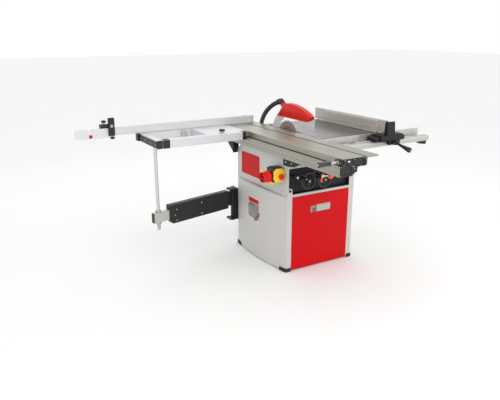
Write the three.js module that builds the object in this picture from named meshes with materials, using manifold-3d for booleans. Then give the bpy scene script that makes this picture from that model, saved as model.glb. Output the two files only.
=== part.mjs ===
// Panel saw with a sliding table, an outrigger with a crosscut fence, and a tilting blade.
// Millimetres. X runs to the operator's right, Y along the cut away from the operator, Z up.
// Everything is placed from the front left foot corner of the cabinet; the last lines move the
// whole machine so that its origin is the middle of its footprint, on the floor.
import * as THREE from "three";
import Module from "manifold-3d";
import { mergeVertices } from "three/addons/utils/BufferGeometryUtils.js";

const wasm = await Module();
wasm.setup();

// ---- driving dimensions ----
const GAP = 0.3; // between pieces that touch
const SHEET = 3; // sheet steel

const cabinet = { wide: 541, long: 629, bottom: 6, waist: 512, top: 771, bulge: 30 };
const rearChamfer = { y: 571, z: 714 };
const frontPanel = { x0: 38, x1: 498, z0: 9, z1: 509 };
const controlPanel = { x0: 9, x1: 500, z0: 527, z1: 696, deep: 28 };

const tableTop = 870;
const sawTable = { x0: 232, x1: 720, y0: -25, y1: 640, plate: 12, deep: 40 };
const throat = { y0: 205, y1: 590, x1: 270 };

const slide = { x0: -25, x1: 228, y0: -542, y1: 790, skirt: 836, underside: 846, box: 820, boxRight: 148 };
const slotX = 135; // T-slot in the sliding table
const beam = { x0: -42, x1: 50, y0: -540, y1: 770, z0: cabinet.top + GAP, z1: 832 };

const outrigger = { left: -680, right: -46, y0: 432, y1: 780, profile: 48, high: 52 };
const fencePivot = [slotX, 760];
const crosscut = { x0: -876, x1: 195, y0: 745, y1: 775, z0: tableTop + 1, z1: tableTop + 52, wall: 4 };

const hingePin = { x: -22, y: 668, radius: 8 };
const rodTop = { x: -660, y: 530 };
const arm = { near: 62, far: 575, z0: 279, z1: 411, thick: 40, wall: 4 };
const innerTube = { near: 80, far: 692, high: 68, thick: 30 };
const rod = { radius: 11, z0: 258, z1: tableTop - outrigger.high - 3 };

const rail = { x0: 250, x1: 1098, y0: -110, y1: -70, z0: 786, z1: 826 };
const railAngle = { x0: 236, x1: 1070, thick: 12, z0: 819, z1: 868 };
const fenceHead = { x0: 595, x1: 850, y0: -140, y1: -44, z0: rail.z1 + 1, z1: 868 };
const ripFace = { x0: 668, x1: 689.7, y0: -44, y1: 505, z0: 872, z1: 952 };
const ripBar = { x0: 690, x1: 716, y0: -110, y1: 640, z0: 878, z1: 956 };

const blade = { x: 243, y: 362, radius: 125, thick: 3, teeth: 40, above: 67 };
const arborZ = tableTop + blade.above - blade.radius;
const knifeGap = 8;
const guardWide = 40;
const motor = { x0: 400, x1: 518, z: 600, radius: 62 };
const pulley = { x0: 362, x1: 384, radius: 28 };
const columns = { x: 293, ys: [150, 535], radius: 10, z0: 580, z1: 840 };
const trunnion = { inner: 150, outer: 165 };
const hosePipe = { x: 266, radius: 16 };
const spigotEnd = [422, tableTop + 165.2]; // (Y, Z) of the mouth of the guard's outlet

// ---- materials ----
const finish = (color, roughness, metalness) => () =>
  new THREE.MeshStandardMaterial({ color, roughness, metalness });
const greyPaint = finish(0xd9dad8, 0.45, 0.1);
const redPaint = finish(0xd0141c, 0.4, 0.1);
const blackPaint = finish(0x262628, 0.5, 0.2);
const blackPlastic = finish(0x1c1c1e, 0.55, 0);
const redPlastic = finish(0xd8231c, 0.4, 0);
const orangePlastic = finish(0xf2571c, 0.35, 0);
const yellowPlastic = finish(0xf4cf17, 0.4, 0);
const aluminium = finish(0xb9bab6, 0.35, 0.8);
const whiteAluminium = finish(0xe2e4e6, 0.4, 0.4);
const castIron = finish(0x6f6e6a, 0.3, 0.8);
const steel = finish(0xbfc2c4, 0.25, 0.9);
const rubber = finish(0x1d1d1f, 0.8, 0);

// ---- solids ----
const toSolid = (geometry) => {
  const bare = geometry.clone();
  bare.deleteAttribute("normal");
  bare.deleteAttribute("uv");
  const welded = mergeVertices(bare, 1e-4);
  const vertProperties = new Float32Array(welded.attributes.position.array);
  const triVerts = new Uint32Array(welded.index.array);
  return new wasm.Manifold(new wasm.Mesh({ numProp: 3, vertProperties, triVerts }));
};

const toGeometry = (solid) => {
  const mesh = solid.getMesh();
  const geometry = new THREE.BufferGeometry();
  geometry.setAttribute("position", new THREE.BufferAttribute(mesh.vertProperties, 3));
  geometry.setIndex(new THREE.BufferAttribute(mesh.triVerts, 1));
  geometry.computeVertexNormals();
  return geometry;
};

const join = (...pieces) => toGeometry(pieces.map(toSolid).reduce((all, next) => all.add(next)));
const cut = (body, ...tools) =>
  toGeometry(tools.map(toSolid).reduce((left, tool) => left.subtract(tool), toSolid(body)));

const box = ([x0, x1], [y0, y1], [z0, z1]) =>
  new THREE.BoxGeometry(x1 - x0, y1 - y0, z1 - z0).translate((x0 + x1) / 2, (y0 + y1) / 2, (z0 + z1) / 2);

// A round bar between two points.
const bar = (from, to, radius, sides = 24, endRadius = radius) => {
  const start = new THREE.Vector3(...from);
  const run = new THREE.Vector3(...to).sub(start);
  const geometry = new THREE.CylinderGeometry(endRadius, radius, run.length(), sides);
  const turn = new THREE.Quaternion().setFromUnitVectors(new THREE.Vector3(0, 1, 0), run.clone().normalize());
  return geometry.applyQuaternion(turn).translate(...start.addScaledVector(run, 0.5).toArray());
};

const outline = (points) => new THREE.Shape(points.map(([a, b]) => new THREE.Vector2(a, b)));

const extrude = (shape, depth, curveSegments = 12) =>
  new THREE.ExtrudeGeometry(shape, { depth, bevelEnabled: false, curveSegments });

const axes = {
  x: new THREE.Vector3(1, 0, 0),
  y: new THREE.Vector3(0, 1, 0),
  z: new THREE.Vector3(0, 0, 1),
};
// A (Y, Z) outline extruded from x0 to x1.
const alongX = (shape, x0, x1, curves) =>
  extrude(shape, x1 - x0, curves)
    .applyMatrix4(new THREE.Matrix4().makeBasis(axes.y, axes.z, axes.x))
    .translate(x0, 0, 0);
// An (X, Z) outline extruded from y0 to y1.
const alongY = (shape, y0, y1, curves) =>
  extrude(shape, y1 - y0, curves)
    .applyMatrix4(new THREE.Matrix4().makeBasis(axes.x, axes.z, axes.y.clone().negate()))
    .translate(0, y1, 0);
// An (X, Y) outline extruded from z0 to z1.
const alongZ = (shape, z0, z1, curves) => extrude(shape, z1 - z0, curves).translate(0, 0, z0);

const rectangle = (a0, a1, b0, b1) => outline([[a0, b0], [a1, b0], [a1, b1], [a0, b1]]);

// A box tube along Y, or along X, open at both ends.
const tubeAlongY = ([x0, x1], [y0, y1], [z0, z1], wall) =>
  cut(
    box([x0, x1], [y0, y1], [z0, z1]),
    box([x0 + wall, x1 - wall], [y0 - 1, y1 + 1], [z0 + wall, z1 - wall]),
  );
const tubeAlongX = ([x0, x1], [y0, y1], [z0, z1], wall) =>
  cut(
    box([x0, x1], [y0, y1], [z0, z1]),
    box([x0 - 1, x1 + 1], [y0 + wall, y1 - wall], [z0 + wall, z1 - wall]),
  );

// A round tube along a smooth curve through points.
const circle = (radius, sides) =>
  outline(Array.from({ length: sides }, (_, n) => {
    const angle = (2 * Math.PI * n) / sides;
    return [radius * Math.cos(angle), radius * Math.sin(angle)];
  }));
const tubeAlong = (points, radius, steps, sides) => {
  const extrudePath = new THREE.CatmullRomCurve3(points.map((point) => new THREE.Vector3(...point)));
  return new THREE.ExtrudeGeometry(circle(radius, sides), { steps, extrudePath });
};

// Part of a ring about the point (a, b), from one angle to another, in degrees from -b towards +a.
const ringSector = (a, b, inner, outer, from, to) => {
  const shape = new THREE.Shape();
  const [start, end] = [from, to].map((degrees) => THREE.MathUtils.degToRad(degrees - 90));
  shape.absarc(a, b, outer, start, end, false);
  shape.absarc(a, b, inner, end, start, true);
  shape.closePath();
  return shape;
};

const machine = new THREE.Group();
const mesh = (group, name, geometry, material) => {
  const piece = new THREE.Mesh(geometry, material());
  piece.name = name;
  group.add(piece);
  return piece;
};
const assembly = (parent = machine) => {
  const group = new THREE.Group();
  parent.add(group);
  return group;
};

// ---- cabinet ----
const cabinetPlan = (inset) => {
  const { wide, long, bulge } = cabinet;
  const shape = new THREE.Shape();
  shape.moveTo(inset, inset);
  shape.lineTo(wide - inset, inset);
  shape.quadraticCurveTo(wide + 2 * bulge - inset, long / 2, wide - inset, long - inset);
  shape.lineTo(inset, long - inset);
  shape.quadraticCurveTo(-2 * bulge + inset, long / 2, inset, inset);
  return shape;
};

const lowerCabinet = () => {
  const { bottom, waist } = cabinet;
  const topFlange = 25;
  const shell = cut(
    alongZ(cabinetPlan(0), bottom, waist),
    alongZ(cabinetPlan(SHEET), bottom - 1, waist - SHEET),
  );
  const { x0, x1, z0, z1 } = frontPanel;
  return cut(
    shell,
    alongZ(cabinetPlan(topFlange), waist - 2 * SHEET, waist + 1),
    box([x0 + 12, x1 - 12], [-1, SHEET + 1], [z0 + 12, z1 - 12]),
  );
};

const upperCabinet = () => {
  const { wide, long, waist, top } = cabinet;
  const lip = 20;
  const side = outline([
    [0, waist + GAP], [long, waist + GAP], [long, rearChamfer.z], [rearChamfer.y, top], [0, top],
  ]);
  const hollow = outline([
    [SHEET, waist + SHEET], [long - SHEET, waist + SHEET], [long - SHEET, rearChamfer.z - 1],
    [rearChamfer.y - 1, top - SHEET], [SHEET, top - SHEET],
  ]);
  const { x0, x1, z0, z1 } = controlPanel;
  return cut(
    alongX(side, 0, wide),
    alongX(hollow, SHEET, wide - SHEET),
    box([lip, wide - lip], [lip, long - lip], [waist - 1, waist + 2 * SHEET]),
    box([x0, x1], [-1, SHEET + 1], [z0, z1]),
    box([52, 505], [32, 600], [top - 2 * SHEET - 40, top + 1]),
    box([12, 310], [long - 2 * SHEET - 40, long + 1], [540, top + 1]),
  );
};

const cabinetPieces = () => {
  const group = assembly();
  const { wide, long } = cabinet;
  mesh(group, "lower_cabinet", lowerCabinet(), greyPaint);
  mesh(group, "upper_cabinet", upperCabinet(), greyPaint);

  const { x0, x1, z0, z1 } = frontPanel;
  mesh(group, "front_panel", box([x0, x1], [-SHEET - GAP, -GAP], [z0, z1]), redPaint);

  const c = controlPanel;
  const wall = 2.5;
  const rim = [c.z0 + GAP, c.z1 - GAP];
  const tray = cut(
    box([c.x0 + GAP, c.x1 - GAP], [0, c.deep], rim),
    box([c.x0 + wall, c.x1 - wall], [-1, c.deep - wall], [c.z0 + wall, c.z1 - wall]),
    ...controls.map(({ x, z, shaft }) => bar([x, 0, z], [x, c.deep + 1, z], shaft + 1, 16)),
  );
  mesh(group, "control_panel", tray, blackPaint);

  // A corner cup under each corner of the lower cabinet.
  const cup = { acrossX: 36, acrossY: 62, wall: 4, high: 26 };
  const corners = [[0, 0, 1, 1], [wide, 0, -1, 1], [0, long, 1, -1], [wide, long, -1, -1]];
  corners.forEach(([x, y, sx, sy], index) => {
    const reach = -(cup.wall + GAP);
    const span = (at, sign, a, b) => [at + sign * a, at + sign * b].sort((p, q) => p - q);
    const outer = box(span(x, sx, reach - 10, cup.acrossX), span(y, sy, reach, cup.acrossY), [0, cup.high]);
    const inside = alongZ(cabinetPlan(-GAP), cabinet.bottom - GAP, cup.high + 1);
    const trim = alongZ(cabinetPlan(-cup.wall), -1, cup.high + 1);
    const floorPad = toGeometry(toSolid(outer).intersect(toSolid(trim)));
    mesh(group, `foot_${index + 1}`, cut(floorPad, inside), rubber);
  });
};

// ---- switch on the left side ----
const switchGear = () => {
  const group = assembly();
  const body = { x0: -76, x1: -GAP, y0: 48, y1: 128, z0: 611, z1: 697 };
  const lidThick = 14;
  const button = { x: -34, z: 648, radius: 19 };
  const inlet = { y: 98, z: 640, radius: 34, long: 54 };

  const buttonBore = bar([button.x, body.y0 - 1, button.z], [button.x, body.y0 + 22, button.z], 10, 16);
  const shell = cut(box([body.x0, body.x1], [body.y0, body.y1], [body.z0, body.z1]), buttonBore);
  mesh(group, "switch_box", shell, blackPlastic);

  const corner = 16;
  const lidOutline = outline([
    [body.x0 + corner, body.z0], [body.x1 - corner, body.z0], [body.x1, body.z0 + corner],
    [body.x1, body.z1 - corner], [body.x1 - corner, body.z1], [body.x0 + corner, body.z1],
    [body.x0, body.z1 - corner], [body.x0, body.z0 + corner],
  ]);
  const lid = cut(
    alongY(lidOutline, body.y0 - lidThick, body.y0 - 2 * GAP),
    bar([button.x, 0, button.z], [button.x, 60, button.z], 11, 20),
  );
  mesh(group, "switch_lid", lid, yellowPlastic);

  const lidFace = body.y0 - lidThick;
  const mushroom = join(
    bar([button.x, lidFace - 8, button.z], [button.x, body.y0 - 1.5, button.z], 9, 16),
    bar([button.x, lidFace - 24, button.z], [button.x, lidFace - 7, button.z], button.radius, 24),
  );
  mesh(group, "stop_button", mushroom, redPlastic);

  const face = body.x0 - inlet.long;
  const centre = [inlet.y, inlet.z];
  const pins = [0, 1, 2, 3, 4].map((n) => {
    const angle = (n * 2 * Math.PI) / 5 - Math.PI / 2;
    const [y, z] = [centre[0] + 15 * Math.cos(angle), centre[1] + 15 * Math.sin(angle)];
    return bar([face + 6, y, z], [face + 45, y, z], 3, 10);
  });
  const collar = bar([body.x0 - 16, ...centre], [body.x0 - GAP, ...centre], inlet.radius + 3, 24);
  const sleeve = bar([face, ...centre], [body.x0 - 2, ...centre], inlet.radius, 24);
  const mouth = bar([face - 1, ...centre], [face + 42, ...centre], inlet.radius - 4, 24);
  const shellOfInlet = cut(join(collar, sleeve), mouth);
  mesh(group, "power_inlet", join(shellOfInlet, ...pins), redPlastic);
};

// ---- controls on the front ----
const controls = [
  { name: "height_wheel", x: 135, z: 612, shaft: 8 },
  { name: "tilt_wheel", x: 262, z: 606, shaft: 8 },
  { name: "height_lock", x: 42, z: 648, shaft: 6 },
  { name: "tilt_lock", x: 198, z: 650, shaft: 6 },
];

const handwheel = () => {
  const rimRadius = 50;
  const rim = new THREE.TorusGeometry(rimRadius, 7, 8, 24).rotateX(Math.PI / 2);
  const spokes = [0, 1, 2].map((n) => {
    const angle = (n * 2 * Math.PI) / 3 + 0.5;
    return bar([0, 0, 0], [rimRadius * Math.cos(angle), 0, rimRadius * Math.sin(angle)], 6, 10);
  });
  const hub = bar([0, -14, 0], [0, 16, 0], 16, 20);
  const shaft = bar([0, 10, 0], [0, 96, 0], 8, 16);
  const gripAt = [rimRadius * Math.cos(2.6), rimRadius * Math.sin(2.6)];
  const grip = bar([gripAt[0], 4, gripAt[1]], [gripAt[0], -40, gripAt[1]], 8, 14, 11);
  return join(rim, hub, shaft, grip, ...spokes);
};

const controlPieces = () => {
  const group = assembly();
  const [height, tilt, heightLock, tiltLock] = controls;
  const wheelY = -34;
  for (const { name, x, z } of [height, tilt]) {
    const wheel = mesh(group, name, handwheel(), blackPlastic);
    wheel.position.set(x, wheelY, z);
  }
  const lockShaft = (long) => bar([0, -10, 0], [0, long, 0], 6, 14);
  const barrel = join(lockShaft(60), bar([0, -44, 0], [0, -8, 0], 14, 20));
  mesh(group, heightLock.name, barrel, blackPlastic).position.set(heightLock.x, -4, heightLock.z);
  const ball = [62, -94, 7];
  const lever = join(
    lockShaft(60),
    bar([0, -100, 0], [0, 2, 0], 11, 16),
    bar([0, -90, 0], ball, 5, 10),
    new THREE.SphereGeometry(20, 16, 12).translate(...ball),
  );
  mesh(group, tiltLock.name, lever, orangePlastic).position.set(tiltLock.x, -4, tiltLock.z);
};

// ---- fixed beam that carries the sliding table ----
const beamPieces = () => {
  const group = assembly();
  const { x0, x1, y0, y1, z0, z1 } = beam;
  const wall = 6;
  const track = [-13, 30];
  const body = join(
    tubeAlongY([x0, x1], [y0, y1], [z0, z1], wall),
    ...track.map((x) => box([x, x + 12], [y0, y1], [z1 - 1, z1 + 6])),
  );
  mesh(group, "base_beam", body, aluminium);
  const plateX = [x0 + 4, x0 + 12];
  const hanger = (points) => alongX(outline(points), ...plateX);
  const front = join(
    hanger([[-180, z0 - GAP], [-6, z0 - GAP], [-6, 730], [-60, 730], [-118, 740]]),
    box([plateX[0], x1], [-180, -6], [z0 - 7, z0 - GAP]),
    box([plateX[0], x1 + 12], [-6.1, -GAP], [730, z0 - GAP]),
  );
  mesh(group, "beam_bracket_front", front, blackPaint);
  const rearWall = cabinet.long + GAP;
  const rear = join(
    hanger([
      [rearWall, 700], [rearWall + 6, 700], [rearWall + 90, z0 - 10],
      [rearWall + 90, z0 - GAP], [rearWall, z0 - GAP],
    ]),
    box([plateX[0], x1], [rearWall, rearWall + 90], [z0 - 7, z0 - GAP]),
    box([plateX[0], 8], [rearWall, rearWall + 6], [690, z0 - GAP]),
  );
  mesh(group, "beam_bracket_rear", rear, blackPaint);

  const cage = { x0: -15, x1: 44, z0: z1 + 6 + GAP, z1: slide.underside - GAP, y0: y0 + 4, y1: 620 };
  const windows = [];
  for (let y = cage.y0 + 30; y < cage.y1 - 40; y += 120) {
    windows.push(box([cage.x0 + 16, cage.x1 - 16], [y, y + 80], [cage.z0 - 1, cage.z1 + 1]));
  }
  const strip = box([cage.x0, cage.x1], [cage.y0, cage.y1], [cage.z0, cage.z1]);
  mesh(group, "roller_carriage", cut(strip, ...windows), steel);
};

// ---- sliding table, outrigger and crosscut fence ----
const slidingTable = () => {
  const s = slide;
  const section = outline([
    [s.x0, tableTop], [slotX - 6, tableTop], [slotX - 6, tableTop - 8], [slotX - 11, tableTop - 8],
    [slotX - 11, tableTop - 15], [slotX + 11, tableTop - 15], [slotX + 11, tableTop - 8],
    [slotX + 6, tableTop - 8], [slotX + 6, tableTop], [s.x1, tableTop], [s.x1, tableTop - 4],
    [s.x1 - 8, tableTop - 9], [s.boxRight, tableTop - 9], [s.boxRight, s.box], [58, s.box],
    [58, s.underside], [s.x0 + 8, s.underside], [s.x0 + 8, s.skirt], [s.x0, s.skirt],
  ]);
  const ends = [s.y0 - 1, s.y1 + 1];
  return cut(
    alongY(section, s.y0, s.y1),
    box([63, 96], ends, [s.box + 5, tableTop - 8]),
    box([101, s.boxRight - 5], ends, [s.box + 5, tableTop - 20]),
  );
};

const slidingPieces = () => {
  const group = assembly();
  mesh(group, "sliding_table", slidingTable(), aluminium);

  // Grip and bracket at the front left corner.
  const grip = { y: -520, z: 852 };
  const handle = join(
    bar([-176, grip.y, grip.z], [-92, grip.y, grip.z], 15, 20),
    bar([-96, grip.y, grip.z], [-40, grip.y, grip.z], 7, 14),
    box([-42, slide.x0 - GAP], [grip.y - 26, grip.y + 26], [838, 866]),
  );
  mesh(group, "push_handle", handle, blackPlastic);

  const { left, right, y0, y1, profile, high } = outrigger;
  const z = [tableTop - high, tableTop - 0.5];
  const endWide = 40;
  const inner = left + endWide + GAP;
  const x = [inner, right];
  mesh(group, "outrigger_front_profile", tubeAlongX(x, [y0, y0 + profile], z, SHEET), whiteAluminium);
  mesh(group, "outrigger_rear_profile", tubeAlongX(x, [y1 - profile, y1], z, SHEET), whiteAluminium);
  mesh(group, "outrigger_end_profile", tubeAlongY([left, inner - GAP], [y0, y1], z, SHEET), blackPaint);

  const plate = { x0: -313, x1: right, thick: 8 };
  const between = [y0 + profile + GAP, y1 - profile - GAP];
  const top = [z[1] - plate.thick, z[1]];
  const wide = join(
    box([plate.x0, plate.x1], between, top),
    box([plate.x1 - 1, slide.x0 - GAP], [between[0] + 10, between[1] - 10], top),
  );
  mesh(group, "outrigger_plate", wide, aluminium);

  const knob = join(
    bar([0, 0, GAP], [0, 0, 8], 9, 14),
    bar([0, 0, 7], [0, 0, 22], 21, 8, 19),
  );
  mesh(group, "outrigger_knob", knob, blackPlastic).position.set(-195, 497, z[1]);
};

const crosscutPieces = () => {
  const group = assembly();
  group.position.set(...fencePivot, 0);
  const c = crosscut;
  const [px, py] = fencePivot;
  const x = [c.x0 - px, c.x1 - px];
  const y = [c.y0 - py, c.y1 - py];
  mesh(group, "crosscut_fence", tubeAlongX(x, y, [c.z0, c.z1], c.wall), whiteAluminium);

  const clear = c.wall + 0.6;
  const shoe = { x0: -1097 - px, x1: c.x0 - 1.5 - px, z0: 862, thick: 20, notch: -1012 - px };
  const reach = -340 - px;
  const extension = cut(
    join(
      box([shoe.x0, shoe.x1], [y[0], y[0] + shoe.thick], [shoe.z0, c.z1]),
      box([shoe.x1 - 5, reach], [y[0] + clear, y[1] - clear], [c.z0 + clear, c.z1 - clear]),
    ),
    box([shoe.notch, shoe.notch + 22], [y[0] - 1, y[0] + shoe.thick + 1], [c.z1 - 12, c.z1 + 1]),
  );
  mesh(group, "fence_extension", extension, whiteAluminium);

  // Flip stop: a saddle on the fence, a bar that hangs in front of it and a clamp knob.
  const stopX = -868 - px;
  const saddleTop = c.z1 + 24;
  const saddle = join(
    box([stopX - 66, stopX + 18], [y[0] - 1, y[1]], [c.z1 + 1, saddleTop]),
    box([stopX - 66, stopX + 18], [y[1] + 0.8, y[1] + 8], [c.z0 + 8, saddleTop]),
    box([stopX - 66, stopX + 18], [y[1] - 4, y[1] + 8], [c.z1 + 1, saddleTop]),
    bar([stopX, y[0] - 18, saddleTop - 10], [stopX, y[0], saddleTop - 10], 6, 16),
  );
  mesh(group, "stop_block", saddle, blackPaint);
  const arm = cut(
    box([stopX - 20, stopX + 20], [y[0] - 15, y[0] - 2], [tableTop + 2, 988]),
    bar([stopX, y[0] - 20, saddleTop - 10], [stopX, y[0], saddleTop - 10], 6.5, 16),
  );
  mesh(group, "stop_bar", arm, blackPaint);

  const knobShape = (stem) =>
    join(bar([0, 0, 0], [0, 0, stem + 1], 6, 12), bar([0, 0, stem], [0, 0, stem + 18], 15, 7, 13));
  const stopKnob = mesh(group, "stop_knob", knobShape(8), blackPlastic);
  stopKnob.position.set(stopX - 42, 0, saddleTop + GAP);
  const extensionKnob = mesh(group, "extension_knob", knobShape(6).rotateX(Math.PI), blackPlastic);
  extensionKnob.position.set(c.x0 + 18 - px, 0, c.z0 - GAP);
};

// ---- swinging support arm ----
const supportArmPieces = () => {
  const bracketGroup = assembly();
  const { x, y, radius } = hingePin;
  const ears = { z0: 187, z1: 421, thick: 13 };
  const wallY = cabinet.long + GAP;
  const bracket = cut(
    join(
      box([x - 4, 66], [wallY, wallY + 7], [ears.z0, ears.z1]),
      box([x - 42, x + 26], [wallY, y + 24], [ears.z0, ears.z0 + ears.thick]),
      box([x - 42, x + 26], [wallY, y + 24], [ears.z1 - ears.thick, ears.z1]),
    ),
    bar([x, y, ears.z0 - 1], [x, y, ears.z1 + 1], radius + GAP, 20),
  );
  mesh(bracketGroup, "arm_bracket", bracket, blackPaint);
  mesh(bracketGroup, "arm_pin", bar([x, y, ears.z0 - 8], [x, y, ears.z1 + 6], radius, 20), steel);

  const group = assembly();
  group.position.set(x, y, 0);
  group.rotation.z = Math.atan2(y - rodTop.y, x - rodTop.x);
  const swing = Math.hypot(y - rodTop.y, x - rodTop.x);
  const half = arm.thick / 2;
  const chamfer = 26;
  const side = outline([
    [-arm.far + chamfer, arm.z0], [-arm.near, arm.z0], [-arm.near, arm.z1],
    [-arm.far, arm.z1], [-arm.far, arm.z0 + chamfer],
  ]);
  const knuckle = bar([0, 0, ears.z0 + ears.thick + 1], [0, 0, ears.z1 - ears.thick - 1], radius + 9, 20);
  const middle = (arm.z0 + arm.z1) / 2;
  const tube = innerTube;
  const outer = cut(
    join(alongY(side, -half, half), box([-arm.near - 2, 0], [-10, 10], [arm.z0 + 14, arm.z1 - 14]), knuckle),
    bar([0, 0, 0], [0, 0, 500], radius + 0.8, 20),
    box([-arm.far - 1, -arm.near - 8], [-half + arm.wall, half - arm.wall], [middle - 40, middle + 40]),
  );
  mesh(group, "outer_arm", outer, blackPaint);

  const rodHole = bar([-swing, 0, 0], [-swing, 0, 500], rod.radius + 0.6, 20);
  const low = middle - tube.high / 2;
  const high = middle + tube.high / 2;
  const half2 = tube.thick / 2;
  const inner = cut(tubeAlongX([-tube.far, -tube.near], [-half2, half2], [low, high], SHEET), rodHole);
  mesh(group, "inner_tube", inner, aluminium);

  const nut = (z0) => bar([-swing, 0, z0], [-swing, 0, z0 + 14], 18, 6);
  const shank = bar([-swing, 0, rod.z0], [-swing, 0, rod.z1], rod.radius, 16);
  const support = join(shank, nut(high + GAP), nut(low - 14 - GAP));
  mesh(group, "support_rod", support, steel);
};

// ---- cast table, rip fence and its rail ----
const tablePieces = () => {
  const group = assembly();
  const { x0, x1, y0, y1, plate, deep } = sawTable;
  const rib = 14;
  const under = [tableTop - deep - 1, tableTop - plate];
  const legTop = tableTop - plate + 1;
  const leg = (x, y) => box(x, y, [cabinet.top + GAP, legTop]);
  const [rearY0, rearY1] = [604, 622];
  const fall = (cabinet.top - rearChamfer.z) / (cabinet.long - rearChamfer.y);
  const slope = (y) => cabinet.top - (y - rearChamfer.y) * fall;
  const rearLeg = alongX(
    outline([[rearY0, slope(rearY0) + 1], [rearY1, slope(rearY1) + 1], [rearY1, legTop], [rearY0, legTop]]),
    318,
    346,
  );
  const body = cut(
    box([x0, x1], [y0, y1], [tableTop - deep, tableTop]),
    box([x0 + rib, x1 - rib], [y0 + rib, y1 - rib], under),
    box([x0 - 1, x0 + rib + 1], [throat.y0 - 60, throat.y1 + 20], under),
    box([x0 - 1, throat.x1], [throat.y0, throat.y1], [tableTop - deep - 1, tableTop + 1]),
  );
  const ledge = box(
    [throat.x1 - 1, throat.x1 + 8],
    [throat.y0 - 4, throat.y1 + 4],
    [tableTop - plate, tableTop - 7],
  );
  const ribs = box([560, 574], [y0 + 2, y1 - 2], [tableTop - deep, legTop]);
  const legs = [leg([508, 538], [4, 28]), leg([508, 538], [540, 568]), leg([236, 262], [4, 28]), rearLeg];
  mesh(group, "saw_table", join(body, ledge, ribs, ...legs), castIron);

  const insert = box(
    [blade.x + 9, throat.x1 - GAP],
    [throat.y0 + 1, throat.y1 - 1],
    [tableTop - 5, tableTop - 0.5],
  );
  mesh(group, "table_insert", insert, aluminium);

  const a = railAngle;
  const flange = [y0 - GAP - a.thick, y0 - GAP];
  const angle = join(
    box([a.x0, a.x1], flange, [a.z0, a.z1]),
    ...[300, 640, 1010].map((x) => box([x, x + 40], [rail.y1 + GAP, y0 - GAP - 1], [a.z0 - 24, a.z0 + 1])),
  );
  mesh(group, "rail_angle", angle, aluminium);
  const radius = 10;
  const r = rail;
  const section = new THREE.Shape();
  section.absarc(r.y0 + radius, r.z0 + radius, radius, Math.PI, 1.5 * Math.PI, false);
  section.lineTo(r.y1, r.z0);
  section.lineTo(r.y1, r.z1);
  section.absarc(r.y0 + radius, r.z1 - radius, radius, 0.5 * Math.PI, Math.PI, false);
  section.closePath();
  section.holes.push(rectangle(r.y0 + 5, r.y1 - 5, r.z0 + 5, r.z1 - 5));
  mesh(group, "front_rail", alongX(section, r.x0, r.x1, 5), aluminium);
};

const ripFencePieces = () => {
  const group = assembly();
  const h = fenceHead;
  const f = ripFace;
  const b = ripBar;
  const post = outline([[h.y0, h.z1 - 1], [h.y0 + 34, h.z1 - 1], [h.y0 + 29, 952], [h.y0 + 6, 952]]);
  const upright = alongX(post, b.x0 - 6, b.x1 + 34);
  const skirt = box([704, 800], [h.y0, h.y0 + 24], [rail.z0 + 14, h.z0 + 1]);
  // The clamp lever's pin, between two ears on the skirt.
  const pivot = { x: 752, y: h.y0 - 15, z: 812, half: 11, pin: 5 };
  const ear = { near: pivot.half + 1, far: pivot.half + 8 };
  const ears = [-1, 1].map((side) => {
    const span = [pivot.x + side * ear.near, pivot.x + side * ear.far].sort((a, b) => a - b);
    return box(span, [pivot.y - 10, h.y0 + 1], [pivot.z - 11, pivot.z + 11]);
  });
  const reach = ear.far - 1;
  const pin = bar([pivot.x - reach, pivot.y, pivot.z], [pivot.x + reach, pivot.y, pivot.z], pivot.pin, 12);
  const head = join(box([h.x0, h.x1], [h.y0, h.y1], [h.z0, h.z1]), upright, skirt, ...ears, pin);
  mesh(group, "fence_head", head, blackPaint);

  const handEnd = [0, -114, -25];
  const lever = cut(
    join(
      bar([-pivot.half, 0, 0], [pivot.half, 0, 0], 13, 18),
      bar([0, 0, 0], handEnd, 9, 14, 12),
      new THREE.SphereGeometry(15, 16, 12).translate(...handEnd),
    ),
    bar([-pivot.half - 1, 0, 0], [pivot.half + 1, 0, 0], pivot.pin + 0.6, 14),
  );
  mesh(group, "fence_lever", lever, blackPlastic).position.set(pivot.x, pivot.y, pivot.z);

  mesh(group, "rip_fence_bar", tubeAlongY([b.x0, b.x1], [h.y0 + 35, b.y1], [b.z0, b.z1], 3.5), aluminium);
  const face = cut(
    box([f.x0, f.x1], [f.y0, f.y1], [f.z0, f.z1]),
    box([f.x0 + 4, f.x1 - 4], [f.y0 - 1, f.y1 + 1], [f.z0 + 5, f.z0 + 42]),
    box([f.x0 + 4, f.x1 - 4], [f.y0 - 1, f.y1 + 1], [f.z0 + 47, f.z1 - 5]),
    ...[24, 58].map((z) => box([f.x0 - 1, f.x0 + 2], [f.y0 - 1, f.y1 + 1], [f.z0 + z, f.z0 + z + 3])),
  );
  mesh(group, "rip_fence_face", face, aluminium);
};

// ---- saw unit: trunnions, tilting carriage, lifting unit, arbor, blade, motor ----
const tiltPieces = () => {
  const group = assembly();
  const { inner, outer } = trunnion;
  const legTop = tableTop - sawTable.plate - GAP;
  const fixed = (y0, y1) => join(
    alongY(ringSector(blade.x, tableTop, inner, outer, -35, 72), y0, y1),
    box([blade.x + 128, blade.x + 156], [y0, y1], [tableTop - 80, legTop]),
  );
  mesh(group, "trunnion_front", fixed(54, 66), castIron);
  mesh(group, "trunnion_rear", fixed(572, 584), castIron);

  const endPlate = (y0, y1) => join(
    alongY(ringSector(blade.x, tableTop, inner - 12, outer + 17, 11, 55), y0, y1),
    box([270, 330], [y0, y1], [545, 745]),
  );
  const shoe = (y0, y1) => alongY(ringSector(blade.x, tableTop, outer + 0.8, outer + 17, 11, 48), y0, y1);
  const foot = [545, 583];
  const carriage = join(
    endPlate(68, 78), shoe(54, 69), endPlate(560, 570), shoe(569, 584),
    box([272, 314], [77, 561], foot),
    ...columns.ys.map((y) => bar([columns.x, y, columns.z0], [columns.x, y, columns.z1], columns.radius, 18)),
  );
  mesh(group, "tilt_carriage", carriage, castIron);
};

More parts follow.
